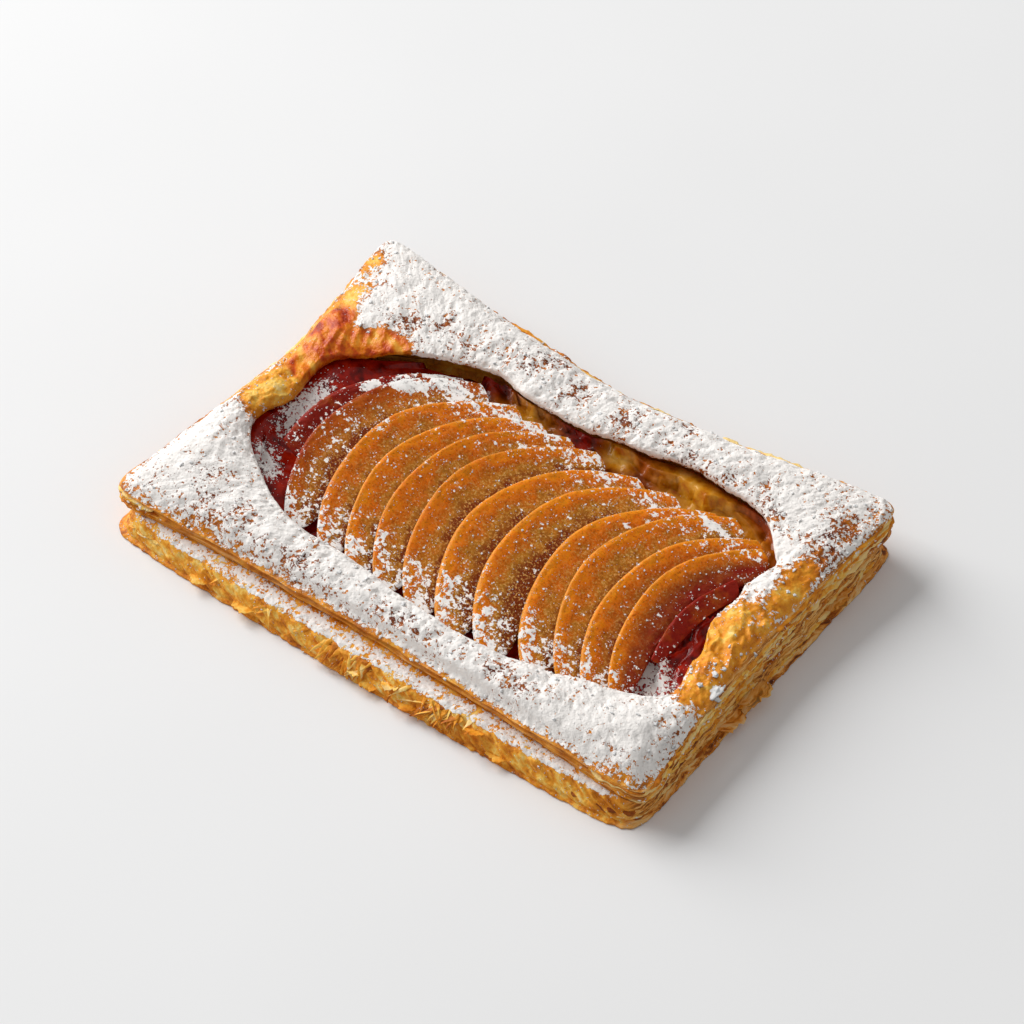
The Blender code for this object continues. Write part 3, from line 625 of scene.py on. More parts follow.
def slice_grid(number):
    """A slice's points, and each one's distance from the skin: a rounded box swept from end to end."""
    x, y, top, front, back, width, turn = slice_sizes(number)
    matrix = Matrix.Translation((x, y, top)) @ Euler((0, LEAN, math.radians(turn))).to_matrix().to_4x4()
    share = -np.cos(np.linspace(0, math.pi, SLICE_RINGS))[:, None]
    angle = np.linspace(0, 2 * math.pi, SLICE_AROUND, endpoint=False)[None, :]
    along = share * np.where(share < 0, front, back)
    start, wide, _ = half_moon(number, along)
    across = 0.5 + 0.5 * np.sign(np.cos(angle)) * np.abs(np.cos(angle)) ** 0.55
    below = 0.5 + 0.5 * np.sign(np.sin(angle)) * np.abs(np.sin(angle)) ** 0.55
    thin = THICKNESS[number] * (1 - np.abs(share) ** 7) ** 0.5 * (1 - 0.25 * across)
    along = along + 0 * across
    stray = 0.30 * mm * np.sin(along / (5.5 * mm) + 2.1 * number) * (1 - share**2) * (1 - across)
    out = start + wide * across + stray
    from_skin = wide * across
    hollow = DRIED_DEPTH * np.exp(-(((from_skin - 5 * mm) / (2.5 * mm)) ** 2))
    up = LIP * np.exp(-((from_skin / (1.3 * mm)) ** 2)) - hollow
    grid = np.stack([out, along, -below * thin + up * (1 - below) * (1 - share**4)], -1)
    turned = grid @ np.array(matrix.to_3x3()).T + np.array(matrix.to_translation())
    turned[..., 2] = pressed(turned[..., 1], turned[..., 2])
    sugar = fan_sugar(turned[..., 0], turned[..., 1])
    fibres = bumps(np.stack([out * 3.2, along * 0.5, 0 * out + number * 0.1], -1), 2.2 * mm, 91)
    crumbs = ease(rough(turned, 1.1 * mm, 2, 95) + 1.4 * (sugar - 0.65), -0.1, 0.5)
    relief = 0.10 * mm * fibres + 0.20 * mm * rough(turned, 1.6 * mm, 2, 93) + 0.20 * mm * crumbs
    turned[..., 2] += (1 - below) * relief * (1 - share**8)
    return turned, from_skin, NO_SUGAR + 1.7 * sugar


# %% [markdown]
# The compote is a dark fruit purée under the fan. It stands in pools at the two ends of the window, sinks to a
# hollow behind the back-left rim, and shows as red-black notches between the slice tips and the rim.

# %% Compote surface
COMPOTE_REACH = 1.8 * mm
POOL_HEIGHT = 9.0 * mm
HOLLOW_AT = (-42.0 * mm, 16.0 * mm)
HOLLOW_SIZE = 9.0 * mm
HOLLOW_DEPTH = 2.2 * mm
JELLY_RISE = 1.3 * mm
JELLY_SPOTS = [
    ((-13 * mm, 25 * mm), (9 * mm, 4 * mm), 0), ((38 * mm, 27 * mm), (19 * mm, 5 * mm), -10),
    ((12 * mm, 28 * mm), (5 * mm, 3 * mm), 0),
]
FRONT_POOL = [((-14 * mm, -33 * mm), (22 * mm, 4 * mm), 0), ((20 * mm, -34 * mm), (20 * mm, 4 * mm), 0)]
COMPOTE_AROUND = 360
COMPOTE_STEP = (1 / 64, 0.08)  # the model's mesh step round, and across as a share of the way out


def under_the_fan(x, y):
    """Height of the lowest slice's underside at each (x, y), or a large height where no slice lies."""
    lowest = np.full_like(x, 1.0)
    for number, thickness in enumerate(THICKNESS):
        over, face = slice_face(number, x, y, SLICE_MARGIN)
        underside = pressed(y, face - thickness / math.cos(LEAN))
        lowest = np.where(over, np.minimum(lowest, underside), lowest)
    return lowest


def compote_place(share, way_out):
    """Where the compote's surface point lies, for a share round and a way out from the middle of 0 to 1."""
    out_x, out_y = sheet_edge(share, LID_SIDES)
    in_x, in_y = window_edge(out_x, out_y)
    away = np.hypot(out_x - in_x, out_y - in_y)
    edge_x = in_x + (out_x - in_x) / away * COMPOTE_REACH
    edge_y = in_y + (out_y - in_y) / away * COMPOTE_REACH
    x = WINDOW_CENTRE[0] + (edge_x - WINDOW_CENTRE[0]) * way_out
    y = WINDOW_CENTRE[1] + (edge_y - WINDOW_CENTRE[1]) * way_out
    return x, y, np.arctan2(out_y, out_x)


def compote_surface():
    """A flattened sphere: rows out from the middle over the top, round the rim and back under."""
    over = 1 - (1 - np.linspace(0, 1, 60)) ** 1.5
    under = np.array([0.985, 0.8, 0.4, 0.0])
    way_out = np.concatenate([over, under])[:, None]
    share = np.linspace(0, 1, COMPOTE_AROUND, endpoint=False)[None, :] + 0 * way_out
    way_out = way_out + 0 * share
    x, y, angle = compote_place(share, way_out)
    hollow = np.hypot(x - HOLLOW_AT[0], (y - HOLLOW_AT[1]) * 1.6) / HOLLOW_SIZE
    pool = POOL_HEIGHT - HOLLOW_DEPTH * np.exp(-(hollow**2)) + JELLY_RISE * field(x, y, JELLY_SPOTS + FRONT_POOL)
    top = np.minimum(pool, around(angle, RIM_TOP) - RIM_THICKNESS - 0.5 * mm)
    points = np.stack([x, y, 0 * x], -1)
    calm = 1 - 0.6 * field(x, y, JELLY_SPOTS)
    top += 0.45 * mm * calm * rough(points, 3.5 * mm, 3, 101) * (1 - ease(way_out, 0.93, 0.99))
    for side in (-1, 0, 1):
        for outwards in (-1, 0, 1):
            near_x, near_y, _ = compote_place(share + side * COMPOTE_STEP[0], way_out + outwards * COMPOTE_STEP[1])
            top = np.minimum(top, under_the_fan(near_x, near_y) - SLICE_GAP)
    top = np.maximum(top, BASE_FLOOR + 1.0 * mm)
    is_top = np.arange(len(way_out))[:, None] < len(over)
    points[..., 2] = np.where(is_top, top, BASE_FLOOR + JOINT_GAP)
    return points, is_top


compote_grid, compote_is_top = compote_surface()
print("compote stands", (compote_grid[..., 2].max() / mm).round(1), "mm high at most")

# %% [markdown]
# Finishes are node graphs. One function adds a node, sets what it is told and joins its links. Colours are
# written as the eye sees them, as sRGB hex values, and turned to linear light once. A pattern's scale is one
# over its real size.

# %% Node helper and colours
def linear(hex_colour):
    """An sRGB hex colour as linear RGBA: each channel c becomes ((c + 0.055) / 1.055)^2.4, or c / 12.92 if dark."""
    channels = [int(hex_colour[i : i + 2], 16) / 255 for i in (1, 3, 5)]
    return (*[c / 12.92 if c <= 0.04045 else ((c + 0.055) / 1.055) ** 2.4 for c in channels], 1.0)


def per(size):
    """A texture's scale for features of a real size."""
    return 1 / size


def add(tree, kind, inputs=None, stops=None, **settings):
    """Adds a node: settings are its properties, inputs are values or links, stops are a ramp's colours."""
    made = tree.nodes.new(kind)
    for name, value in settings.items():
        setattr(made, name, value)
    for key, value in (inputs or {}).items():
        if isinstance(value, bpy.types.NodeSocket):
            tree.links.new(value, made.inputs[key])
        else:
            made.inputs[key].default_value = value
    for number, (position, shade) in enumerate(stops or []):
        ramp = made.color_ramp.elements
        element = ramp[number] if number < 2 else ramp.new(position)
        element.position = position
        element.color = linear(shade)
    return made


def new_finish(name, **constants):
    """A material with one Principled shader, whose constant values go straight on its own sockets."""
    made = bpy.data.materials.new(name)
    made.use_nodes = True
    tree = made.node_tree
    shader = tree.nodes["Principled BSDF"]
    for key, value in constants.items():
        shader.inputs[key.replace("_", " ")].default_value = value
    return made, tree, shader


# %% [markdown]
# Icing sugar dusted through a sieve is a loose white powder of matt grains. Where it lies thick it hides the
# crust but for small pits, and where it is thin the crust shows between clumps. So its mask compares two
# noises, clump size and grain size, with the field of sugar on the piece. Real grains are 0.05 mm, too fine to
# show, so the finest pattern here is drawn at half a millimetre.

# %% Sugar mask
SUGAR_WHITE = "#F7F2ED"
CLUMP = 1.4 * mm
GRAIN = 0.62 * mm
GRAIN_SHARE = 0.5
DUST_CONTRAST = 0.24  # how far the field shifts the noise; the noise itself spreads about 0.07 either way
DUST_EDGE = 0.022


def sugar_mask(tree, place, amount, size=1.0):
    """Mask of powder: clump and grain noise mixed, plus the field, through a narrow step at a half."""
    broad = {"Vector": place, "Scale": per(size * CLUMP), "Detail": 3.0, "Roughness": 0.6}
    narrow = {"Vector": place, "Scale": per(size * GRAIN), "Detail": 2.0, "Roughness": 0.6}
    clump, grain = add(tree, "ShaderNodeTexNoise", broad), add(tree, "ShaderNodeTexNoise", narrow)
    both = add(tree, "ShaderNodeMix", {0: GRAIN_SHARE, 2: clump.outputs["Fac"], 3: grain.outputs["Fac"]})
    half = -0.5 * DUST_CONTRAST
    shifted = add(tree, "ShaderNodeMath", {0: amount, 1: DUST_CONTRAST, 2: half}, operation="MULTIPLY_ADD")
    signal = add(tree, "ShaderNodeMath", {0: both.outputs[0], 1: shifted.outputs[0]}, operation="ADD")
    step = {"Value": signal.outputs[0], "From Min": 0.5 - DUST_EDGE, "From Max": 0.5 + DUST_EDGE}
    return add(tree, "ShaderNodeMapRange", step, interpolation_type="SMOOTHSTEP").outputs[0]


POWDER_LEVEL = 0.75


def powder_facing(tree, normal, powder):
    """The normal where powder lies, turned most of the way to straight up: light wanders through loose grains."""
    share = add(tree, "ShaderNodeMath", {0: powder, 1: POWDER_LEVEL}, operation="MULTIPLY")
    facing = {0: share.outputs[0], 4: normal, 5: (0.0, 0.0, 1.0)}
    return add(tree, "ShaderNodeMix", facing, data_type="VECTOR").outputs[1]


# %% [markdown]
# Puff pastry is hundreds of thin leaves of dough and butter. The outside bakes from cream through gold to
# brown, darkest on ridges and at edges, while a cut or torn side shows the leaves as cream, gold and dark lines
# less than a millimetre apart; the dark lines are partly painted shade in the gaps between leaves. Butter gives
# the bare crust a low gloss. Where syrup ran, it is red-orange and shiny.

# %% Pastry finish
LEAF_SHOWN = 0.48 * mm
LEAF_RUN = 9 * mm


def pastry_finish(name):
    made, tree, shader = new_finish(name, Specular_IOR_Level=0.3, IOR=1.45)
    place = add(tree, "ShaderNodeTexCoord").outputs["Object"]
    fields = {
        key: add(tree, "ShaderNodeAttribute", attribute_name=key).outputs["Fac"]
        for key in ("sugar", "side", "toast", "syrup", "drape")
    }
    blotch = add(tree, "ShaderNodeTexNoise", {"Vector": place, "Scale": per(4 * mm), "Detail": 6.0, "Roughness": 0.7})
    toast = add(tree, "ShaderNodeMath", {0: blotch.outputs["Fac"], 1: 1.6, 2: -0.8}, operation="MULTIPLY_ADD")
    # The toast field also carries painted shade: in the sugar pits of the lid and in the furrows of the base's front
    # drapes.
    plain = add(tree, "ShaderNodeMath", {0: toast.outputs[0], 1: fields["toast"]}, operation="ADD")
    # Painted light and shade on the front drapes: slanting streaks, lighter as lit ridges and darker as shaded furrows,
    # added to the toast.
    slanted = add(
        tree, "ShaderNodeMapping", {"Vector": place, "Rotation": (0.0, 0.75, 0.0), "Scale": (6.0, 1.0, 1.0)},
        vector_type="TEXTURE",
    )
    furrow = add(tree, "ShaderNodeTexNoise", {"Vector": slanted.outputs[0], "Scale": per(1.1 * mm), "Detail": 4.0, "Roughness": 0.6})
    furrow_light_and_shade = add(tree, "ShaderNodeMath", {0: furrow.outputs["Fac"], 1: 1.2, 2: -0.6}, operation="MULTIPLY_ADD")
    toast_with_painted_furrows = add(tree, "ShaderNodeMath", {0: furrow_light_and_shade.outputs[0], 1: fields["drape"], 2: plain.outputs[0]}, operation="MULTIPLY_ADD")
    crust_toast_and_shade = toast_with_painted_furrows
    crust = add(
        tree, "ShaderNodeValToRGB", {"Fac": crust_toast_and_shade.outputs[0]},
        stops=[
            (0.0, "#FAD88E"), (1.0, "#66280C"), (0.15, "#FAC85A"), (0.32, "#F4A42A"), (0.52, "#DC8212"),
            (0.76, "#A4540E"),
        ],
    )
    flat = add(tree, "ShaderNodeMapping", {"Vector": place, "Scale": (1.0, 1.0, LEAF_RUN / LEAF_SHOWN)})
    leaf = add(
        tree, "ShaderNodeTexNoise",
        {"Vector": flat.outputs[0], "Scale": per(LEAF_RUN), "Detail": 5.0, "Roughness": 0.7, "Distortion": 0.6},
    )
    # Lamination lines: cream and gold leaves, and dark lines that are partly painted shade in the gaps between leaves.
    leaves_and_gap_shade = add(
        tree, "ShaderNodeValToRGB", {"Fac": leaf.outputs["Fac"]},
        stops=[(0.38, "#4A1E08"), (0.62, "#F8DCA0"), (0.44, "#A05414"), (0.49, "#DC8C2C"), (0.55, "#F8BE68")],
    )
    on_side = add(tree, "ShaderNodeMath", {0: fields["side"], 1: 0.9}, operation="MULTIPLY")
    baked = add(
        tree, "ShaderNodeMix", {0: on_side.outputs[0], 6: crust.outputs[0], 7: leaves_and_gap_shade.outputs[0]}, data_type="RGBA"
    )
    streak = add(
        tree, "ShaderNodeMapping", {"Vector": place, "Rotation": (0.0, 0.0, -0.5), "Scale": (2.2, 1.0, 1.0)},
        vector_type="TEXTURE",
    )
    run = add(tree, "ShaderNodeTexNoise", {"Vector": streak.outputs[0], "Scale": per(3.2 * mm), "Detail": 4.0})
    syrup_shade = add(
        tree, "ShaderNodeValToRGB", {"Fac": run.outputs["Fac"]},
        stops=[(0.34, "#8A1A03"), (0.68, "#F8B444"), (0.45, "#C84A06"), (0.56, "#E8800E")],
    )
    glazed = add(
        tree, "ShaderNodeMix", {0: fields["syrup"], 6: baked.outputs[2], 7: syrup_shade.outputs[0]}, data_type="RGBA"
    )
    powder = sugar_mask(tree, place, fields["sugar"])
    dusted = add(tree, "ShaderNodeMix", {0: powder, 6: glazed.outputs[2], 7: linear(SUGAR_WHITE)}, data_type="RGBA")
    gloss = add(tree, "ShaderNodeMapRange", {"Value": fields["syrup"], "To Min": 0.52, "To Max": 0.3})
    roughness = add(tree, "ShaderNodeMix", {0: powder, 2: gloss.outputs[0], 3: 0.95})
    fine = add(tree, "ShaderNodeTexNoise", {"Vector": place, "Scale": per(0.7 * mm), "Detail": 3.0})
    lines = add(tree, "ShaderNodeMix", {0: fields["side"], 2: fine.outputs["Fac"], 3: leaf.outputs["Fac"]})
    height = add(tree, "ShaderNodeMath", {0: powder, 1: 0.6, 2: lines.outputs[0]}, operation="MULTIPLY_ADD")
    relief = add(tree, "ShaderNodeBump", {"Height": height.outputs[0], "Strength": 0.6, "Distance": 0.5 * mm})
    tree.links.new(dusted.outputs[2], shader.inputs["Base Color"])
    tree.links.new(roughness.outputs[0], shader.inputs["Roughness"])
    tree.links.new(relief.outputs[0], shader.inputs["Normal"])
    return made


baked_pastry = pastry_finish("baked_puff_pastry")

# %% [markdown]
# The apple was brushed with apricot glaze and baked until the skin side turned to amber jelly. The flesh away
# from the skin is duller and browner and closely freckled with beige where juice dried; its darkest end is
# painted shade where the next slice covers it. A thin pale line along the very edge is a painted highlight. A
# little light passes through the fruit, so its shader has subsurface scattering of about a millimetre.

# %% Apple finish
def apple_finish(name):
    made, tree, shader = new_finish(
        name, IOR=1.42, Specular_IOR_Level=0.22, Subsurface_Scale=2.0 * mm,
        Subsurface_Radius=(1.0, 0.35, 0.12),
    )
    place = add(tree, "ShaderNodeTexCoord").outputs["Object"]
    fields = {
        key: add(tree, "ShaderNodeAttribute", attribute_name=key).outputs["Fac"]
        for key in ("sugar", "skin", "red")
    }
    wander = add(tree, "ShaderNodeTexNoise", {"Vector": place, "Scale": per(4.5 * mm), "Detail": 5.0, "Roughness": 0.6})
    from_skin = add(tree, "ShaderNodeMath", {0: wander.outputs["Fac"], 1: 1.3, 2: -0.65}, operation="MULTIPLY_ADD")
    depth = add(tree, "ShaderNodeMath", {0: fields["skin"], 1: from_skin.outputs[0]}, operation="ADD")
    # Flesh colour from the skin to the deep end; the darkest stops at the deep end are partly painted shade where the
    # next slice covers it.
    flesh_and_cover_shade = add(
        tree, "ShaderNodeValToRGB", {"Fac": depth.outputs[0]},
        stops=[
            (0.0, "#E68A0C"), (1.0, "#7E3203"), (0.09, "#F89002"), (0.28, "#F47E00"), (0.45, "#DA7204"),
            (0.7, "#C27E1E"),
        ],
    )
    # Painted highlight: a pale colour mixed in along the very edge of the skin side, standing for light on its rounded
    # rim.
    edge_highlight_span = {"Value": fields["skin"], "From Min": 0.01, "From Max": 0.06, "To Min": 0.25, "To Max": 0.0}
    edge = add(tree, "ShaderNodeMapRange", edge_highlight_span)
    edge_highlighted = add(
        tree, "ShaderNodeMix", {0: edge.outputs[0], 6: flesh_and_cover_shade.outputs[0], 7: linear("#F4BC68")}, data_type="RGBA"
    )
    freckle = add(tree, "ShaderNodeTexNoise", {"Vector": place, "Scale": per(0.6 * mm), "Detail": 4.0, "Roughness": 0.75})
    pale_span = {"Value": freckle.outputs["Fac"], "From Min": 0.53, "From Max": 0.60, "To Max": 0.9}
    pale = add(tree, "ShaderNodeMapRange", pale_span)
    on_face = add(
        tree, "ShaderNodeMapRange", {"Value": depth.outputs[0], "From Min": 0.16, "From Max": 0.5, "To Min": 0.12}
    )
    flecked = add(tree, "ShaderNodeMath", {0: pale.outputs[0], 1: on_face.outputs[0]}, operation="MULTIPLY")
    speckled = add(
        tree, "ShaderNodeMix", {0: flecked.outputs[0], 6: edge_highlighted.outputs[2], 7: linear("#E8B466")}, data_type="RGBA"
    )
    dark_span = {"Value": freckle.outputs["Fac"], "From Min": 0.46, "From Max": 0.36, "To Max": 0.6}
    dark = add(tree, "ShaderNodeMapRange", dark_span)
    darker = add(
        tree, "ShaderNodeMix", {0: dark.outputs[0], 6: speckled.outputs[2], 7: linear("#98480A")}, data_type="RGBA"
    )
    redden = add(tree, "ShaderNodeMath", {0: wander.outputs["Fac"], 1: 1.2, 2: -0.6}, operation="MULTIPLY_ADD")
    wander_red = add(tree, "ShaderNodeMath", {0: redden.outputs[0], 1: 1.0}, operation="ADD")
    redness = add(tree, "ShaderNodeMath", {0: fields["red"], 1: wander_red.outputs[0]}, operation="MULTIPLY", use_clamp=True)
    stained = add(
        tree, "ShaderNodeMix", {0: redness.outputs[0], 6: darker.outputs[2], 7: linear("#8E1804")}, data_type="RGBA"
    )
    powder = sugar_mask(tree, place, fields["sugar"], 1.35)
    dusted = add(tree, "ShaderNodeMix", {0: powder, 6: stained.outputs[2], 7: linear("#FFFBF6")}, data_type="RGBA")
    gloss = add(tree, "ShaderNodeMapRange", {"Value": depth.outputs[0], "From Max": 0.5, "To Min": 0.3, "To Max": 0.62})
    roughness = add(tree, "ShaderNodeMix", {0: powder, 2: gloss.outputs[0], 3: 0.95})
    height = add(tree, "ShaderNodeMath", {0: powder, 1: 0.8, 2: freckle.outputs["Fac"]}, operation="MULTIPLY_ADD")
    relief = add(tree, "ShaderNodeBump", {"Height": height.outputs[0], "Strength": 0.5, "Distance": 0.4 * mm})
    glow = add(tree, "ShaderNodeMapRange", {"Value": powder, "To Min": 0.25, "To Max": 0.0})
    tree.links.new(glow.outputs[0], shader.inputs["Subsurface Weight"])
    tree.links.new(dusted.outputs[2], shader.inputs["Base Color"])
    tree.links.new(roughness.outputs[0], shader.inputs["Roughness"])
    tree.links.new(powder_facing(tree, relief.outputs[0], powder), shader.inputs["Normal"])
    return made


glazed_apple = apple_finish("apricot_glazed_apple")

# %% [markdown]
# The compote is fruit cooked down with sugar: nearly black where it is deep, wine red where light gets in, and
# amber where the jelly beside the apple has no purée in it. It is wet, so it is glossy with soft highlights.

# %% Compote finish
def compote_finish(name):
    made, tree, shader = new_finish(name, IOR=1.42, Specular_IOR_Level=0.3, Coat_Weight=0.08, Coat_Roughness=0.1)
    place = add(tree, "ShaderNodeTexCoord").outputs["Object"]
    jelly = add(tree, "ShaderNodeAttribute", attribute_name="jelly").outputs["Fac"]
    sugar = add(tree, "ShaderNodeAttribute", attribute_name="sugar").outputs["Fac"]
    blotch = add(tree, "ShaderNodeTexNoise", {"Vector": place, "Scale": per(3 * mm), "Detail": 4.0})
    puree = add(
        tree, "ShaderNodeValToRGB", {"Fac": blotch.outputs["Fac"]},
        stops=[(0.32, "#420301"), (0.72, "#BE280A"), (0.5, "#961405")],
    )
    amber = add(
        tree, "ShaderNodeValToRGB", {"Fac": blotch.outputs["Fac"]},
        stops=[(0.32, "#BE6408"), (0.7, "#F4BC58"), (0.5, "#E09820")],
    )
    wet = add(tree, "ShaderNodeMix", {0: jelly, 6: puree.outputs[0], 7: amber.outputs[0]}, data_type="RGBA")
    powder = sugar_mask(tree, place, sugar)
    dusted = add(tree, "ShaderNodeMix", {0: powder, 6: wet.outputs[2], 7: linear(SUGAR_WHITE)}, data_type="RGBA")
    roughness = add(tree, "ShaderNodeMix", {0: powder, 2: 0.2, 3: 0.9})
    fine = add(tree, "ShaderNodeTexNoise", {"Vector": place, "Scale": per(1.5 * mm), "Detail": 3.0})
    relief = add(tree, "ShaderNodeBump", {"Height": fine.outputs["Fac"], "Strength": 0.35, "Distance": 0.5 * mm})
    tree.links.new(dusted.outputs[2], shader.inputs["Base Color"])
    tree.links.new(roughness.outputs[0], shader.inputs["Roughness"])
    tree.links.new(powder_facing(tree, relief.outputs[0], powder), shader.inputs["Normal"])
    return made


dark_compote = compote_finish("dark_fruit_compote")

# %% [markdown]
# With surfaces and finishes ready, the pieces are made. Each stands for one node of the model, which is then
# hidden, and each gets one material slot with its finish.

# %% Lid, base and compote
# Toast of the lid's crust. The term that darkens it where sugar lies thick is painted shade, for the pits between the
# clumps where the crust shows.
lid_toast_and_pit_shade = 0.50 + 0.22 * lid_brown + 0.16 * ease(lid_sugar, 0.1, 0.8) - 0.12 * front_edge + 0.1 * ease(lid_share, 0.9, 1.0)
lid_toast_and_pit_shade -= lid_gold * (0.15 + 0.05 * ease(-lid_x, 0, 40 * mm))
lid_values = {
    "sugar": lid_sugar, "side": lid_side * (1 - 0.6 * cut_clean), "toast": lid_toast_and_pit_shade, "syrup": lid_syrup,
}
lid = torus_piece("puff_pastry_lid", lid_points, baked_pastry, lid_values)
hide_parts("pastry_lid")

# Toast of the base's crust: paler on the front, painted lighter on the drapes' ridges and darker in their furrows as
# painted light and shade, and darker towards the bottom of the side.
base_toast_and_shade = 0.42 - base_front * (0.07 + 0.15 * drapes(base_grid, 1.8, 77)) + 0.2 * ease(base_place, 9.5, 11)
base_values = {
    "sugar": base_sugar, "side": base_side * (1 - 0.95 * base_front), "toast": base_toast_and_shade, "syrup": 0 * base_x,
    "drape": base_front * base_side,
}
base = poled_piece("puff_pastry_base", base_points, baked_pastry, base_values)
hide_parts("pastry_base")

COMPOTE_SUGAR = [
    ((-52 * mm, -20 * mm), (4 * mm, 7 * mm), 40), ((53 * mm, -19 * mm), (8 * mm, 6 * mm), -30),
    ((61 * mm, -24 * mm), (4 * mm, 4 * mm), 0), ((-55 * mm, -2 * mm), (5 * mm, 11 * mm), 0),
]
compote_x, compote_y = compote_grid[..., 0], compote_grid[..., 1]
compote_values = {
    "jelly": field(compote_x, compote_y, JELLY_SPOTS),
    "sugar": (1.0 * field(compote_x, compote_y, COMPOTE_SUGAR) - 0.25) * compote_is_top,
}
compote = poled_piece("fruit_compote", compote_grid, dark_compote, compote_values)
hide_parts("apple_compote")

# %% Apple slices
SKIN_SPAN = 9 * mm  # the distance from the skin that counts as 1 in the finish
RED_DEPTH = 4 * mm
for number in range(len(SLICES)):
    points, from_skin, sugar = slice_grid(number)
    red = SLICE_RED[number] * (1.0 + 0 * sugar if number in (0, 12) else np.exp(-from_skin / RED_DEPTH))
    if number in (10, 11):  # these two are reddest where they dip into the compote
        red = SLICE_RED[number] * ease(from_skin, 1.5 * mm, 6 * mm)
    values = {"sugar": sugar, "skin": from_skin / SKIN_SPAN, "red": red}
    piece = poled_piece(f"glazed_apple_slice_{number + 1:02d}", points, glazed_apple, values)
    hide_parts(f"apple_slice_{number + 1:02d}")
print("slices made:", len(SLICES))

# %% [markdown]
# Leaves of pastry peel off the two sheets. Three kinds are made, each as one array of thin closed surfaces and
# one mesh. Flakes stick out of the base, broad and curled. Shards hang from the front ledge down over the side,
# each tapering to a skewed point. Along the other sides the leaves' edges stand out as long wavy strips, one
# above another, which is what makes a side look like puff pastry.

# %% Large flakes
FLAKE_THICKNESS = 0.35 * mm
FLAKE_ROWS = 12
FLAKE_AROUND = 16
# x, y, height, length and width in mm, and heading and curl in degrees, of the model's twelve largest flakes
LARGE_FLAKES = [
    (-1.0, -51.8, 2.4, 4.4, 4.4, -72, 10), (3.5, -52.2, 1.6, 4.6, 5.0, -100, 6),
    (8.0, -51.6, 3.4, 4.2, 4.2, -60, 18), (13.5, -52.0, 1.7, 4.6, 5.6, -108, 6),
    (30.5, -51.0, 4.0, 3.6, 5.0, -82, 20), (37.0, -51.4, 1.5, 4.0, 5.4, -97, 6),
    (-32.0, -52.0, 1.9, 4.8, 6.4, -84, 8), (-45.0, -51.8, 1.8, 4.4, 5.4, -101, 8),
    (71.4, -7.0, 2.6, 6.2, 9.0, -2, 14), (71.0, -15.5, 1.9, 5.4, 8.0, -14, 8),
    (71.2, 26.0, 2.2, 5.4, 9.0, 5, 10), (-67.6, 30.0, 3.0, 4.4, 5.4, 170, 12),
]


def flake_points(table, rng):
    """(flakes, rows, columns, 3): an oval section of length by thickness, tapered and curled along the row."""
    x, y, z, length, width, heading, curl = (column[:, None, None] for column in table.T)
    side = np.linspace(-1, 1, FLAKE_ROWS)[None, :, None]
    turn = np.linspace(0, 2 * math.pi, FLAKE_AROUND, endpoint=False)[None, None, :]
    phase = rng.uniform(0, 6.28, (len(table), 1, 1))
    out = 0.5 + 0.5 * np.cos(turn)
    taper = np.sqrt(np.clip(1 - side**2, 0, 1)) ** 0.6
    torn = 1 + 0.14 * np.sin(5 * side + phase) + 0.10 * np.sin(13 * side + 2 * phase)
    reach = length * mm * taper * torn
    across = side * width * mm / 2 + 0 * turn
    forward = (out - 0.35) * reach
    thick = FLAKE_THICKNESS * np.sin(turn) * taper * 0.5
    rise = np.tan(np.radians(curl)) * length * mm * out**1.6 + 0.25 * mm * np.sin(3.2 * side + phase) * out
    angle = np.radians(heading)
    px = x * mm + np.cos(angle) * forward - np.sin(angle) * across
    py = y * mm + np.sin(angle) * forward + np.cos(angle) * across
    pz = np.maximum(z * mm + rise + thick, 0.02 * mm)
    return np.stack([px, py, pz], -1)


def joined_poled(name, grids, material, values):
    """Many small poled surfaces of one grid size as one mesh. grids is (count, rows, columns, 3)."""
    count, rows, columns = grids.shape[:3]
    inner = rows - 2
    poles_first, poles_last = grids[:, :1].mean(2), grids[:, -1:].mean(2)
    body = grids[:, 1:-1].reshape(count, inner * columns, 3)
    points = np.concatenate([poles_first, body, poles_last], 1)
    each = points.shape[1]
    sets = [
        grid_faces(inner, columns, False) + 1,
        pole_faces(0, 1, columns, True),
        pole_faces(1 + inner * columns, 1 + (inner - 1) * columns, columns, False),
    ]
    shift = (np.arange(count) * each)[:, None, None]
    faces = [(f[None] + shift).reshape(-1, f.shape[1]) for f in sets]
    per_point = {key: np.repeat(value, each) for key, value in values.items()}
    return piece_from(name, points.reshape(-1, 3), faces, material, per_point)


def leaf_values(count, rng, sugar, toast):
    """Random sugar and toast, one value a leaf, between the limits given for each."""
    plain = np.zeros(count)
    return {"sugar": rng.uniform(*sugar, count), "side": plain, "toast": rng.uniform(*toast, count), "syrup": plain}


flake_draw = np.random.default_rng(11)
flake_grids = flake_points(np.array(LARGE_FLAKES, float), flake_draw)
flake_looks = leaf_values(len(flake_grids), flake_draw, (-0.6, -0.1), (0.15, 0.45))
flake_looks["side"] = np.repeat((0.0, 0.8), (8, 4))  # the last four are on the right and left sides
flakes = joined_poled("pastry_flakes", flake_grids, baked_pastry, flake_looks)

# %% Shards and strips
SIDE_PROFILE = ((0.0, 0.8, 2.0, 3.0, 4.2, 5.3, 6.0), (-0.6, 0.1, 0.3, -0.4, -0.9, -1.7, -2.6))  # height, way out, mm
SHARDS = 80
SHARDS_AT = ((-4, 4), (-4, 4), (27, 3.5), (27, 3.5), (0, 40))  # middle and spread in mm, along the front, of each torn place
PERIMETER = 2 * (142 + 98) * mm


def edge_frame(share, sides):
    """A sheet's edge points at shares of its way round, and the directions along it and straight out of it."""
    x, y = sheet_edge(share, sides)
    ahead_x, ahead_y = sheet_edge(share + 0.002, sides)
    run = np.hypot(ahead_x - x, ahead_y - y)
    along_x, along_y = (ahead_x - x) / run, (ahead_y - y) / run
    return x, y, (along_x, along_y), (along_y, -along_x)


def profile(z):
    """How far out of its edge line the base's side lies at a height."""
    return np.interp(z / mm, *SIDE_PROFILE) * mm


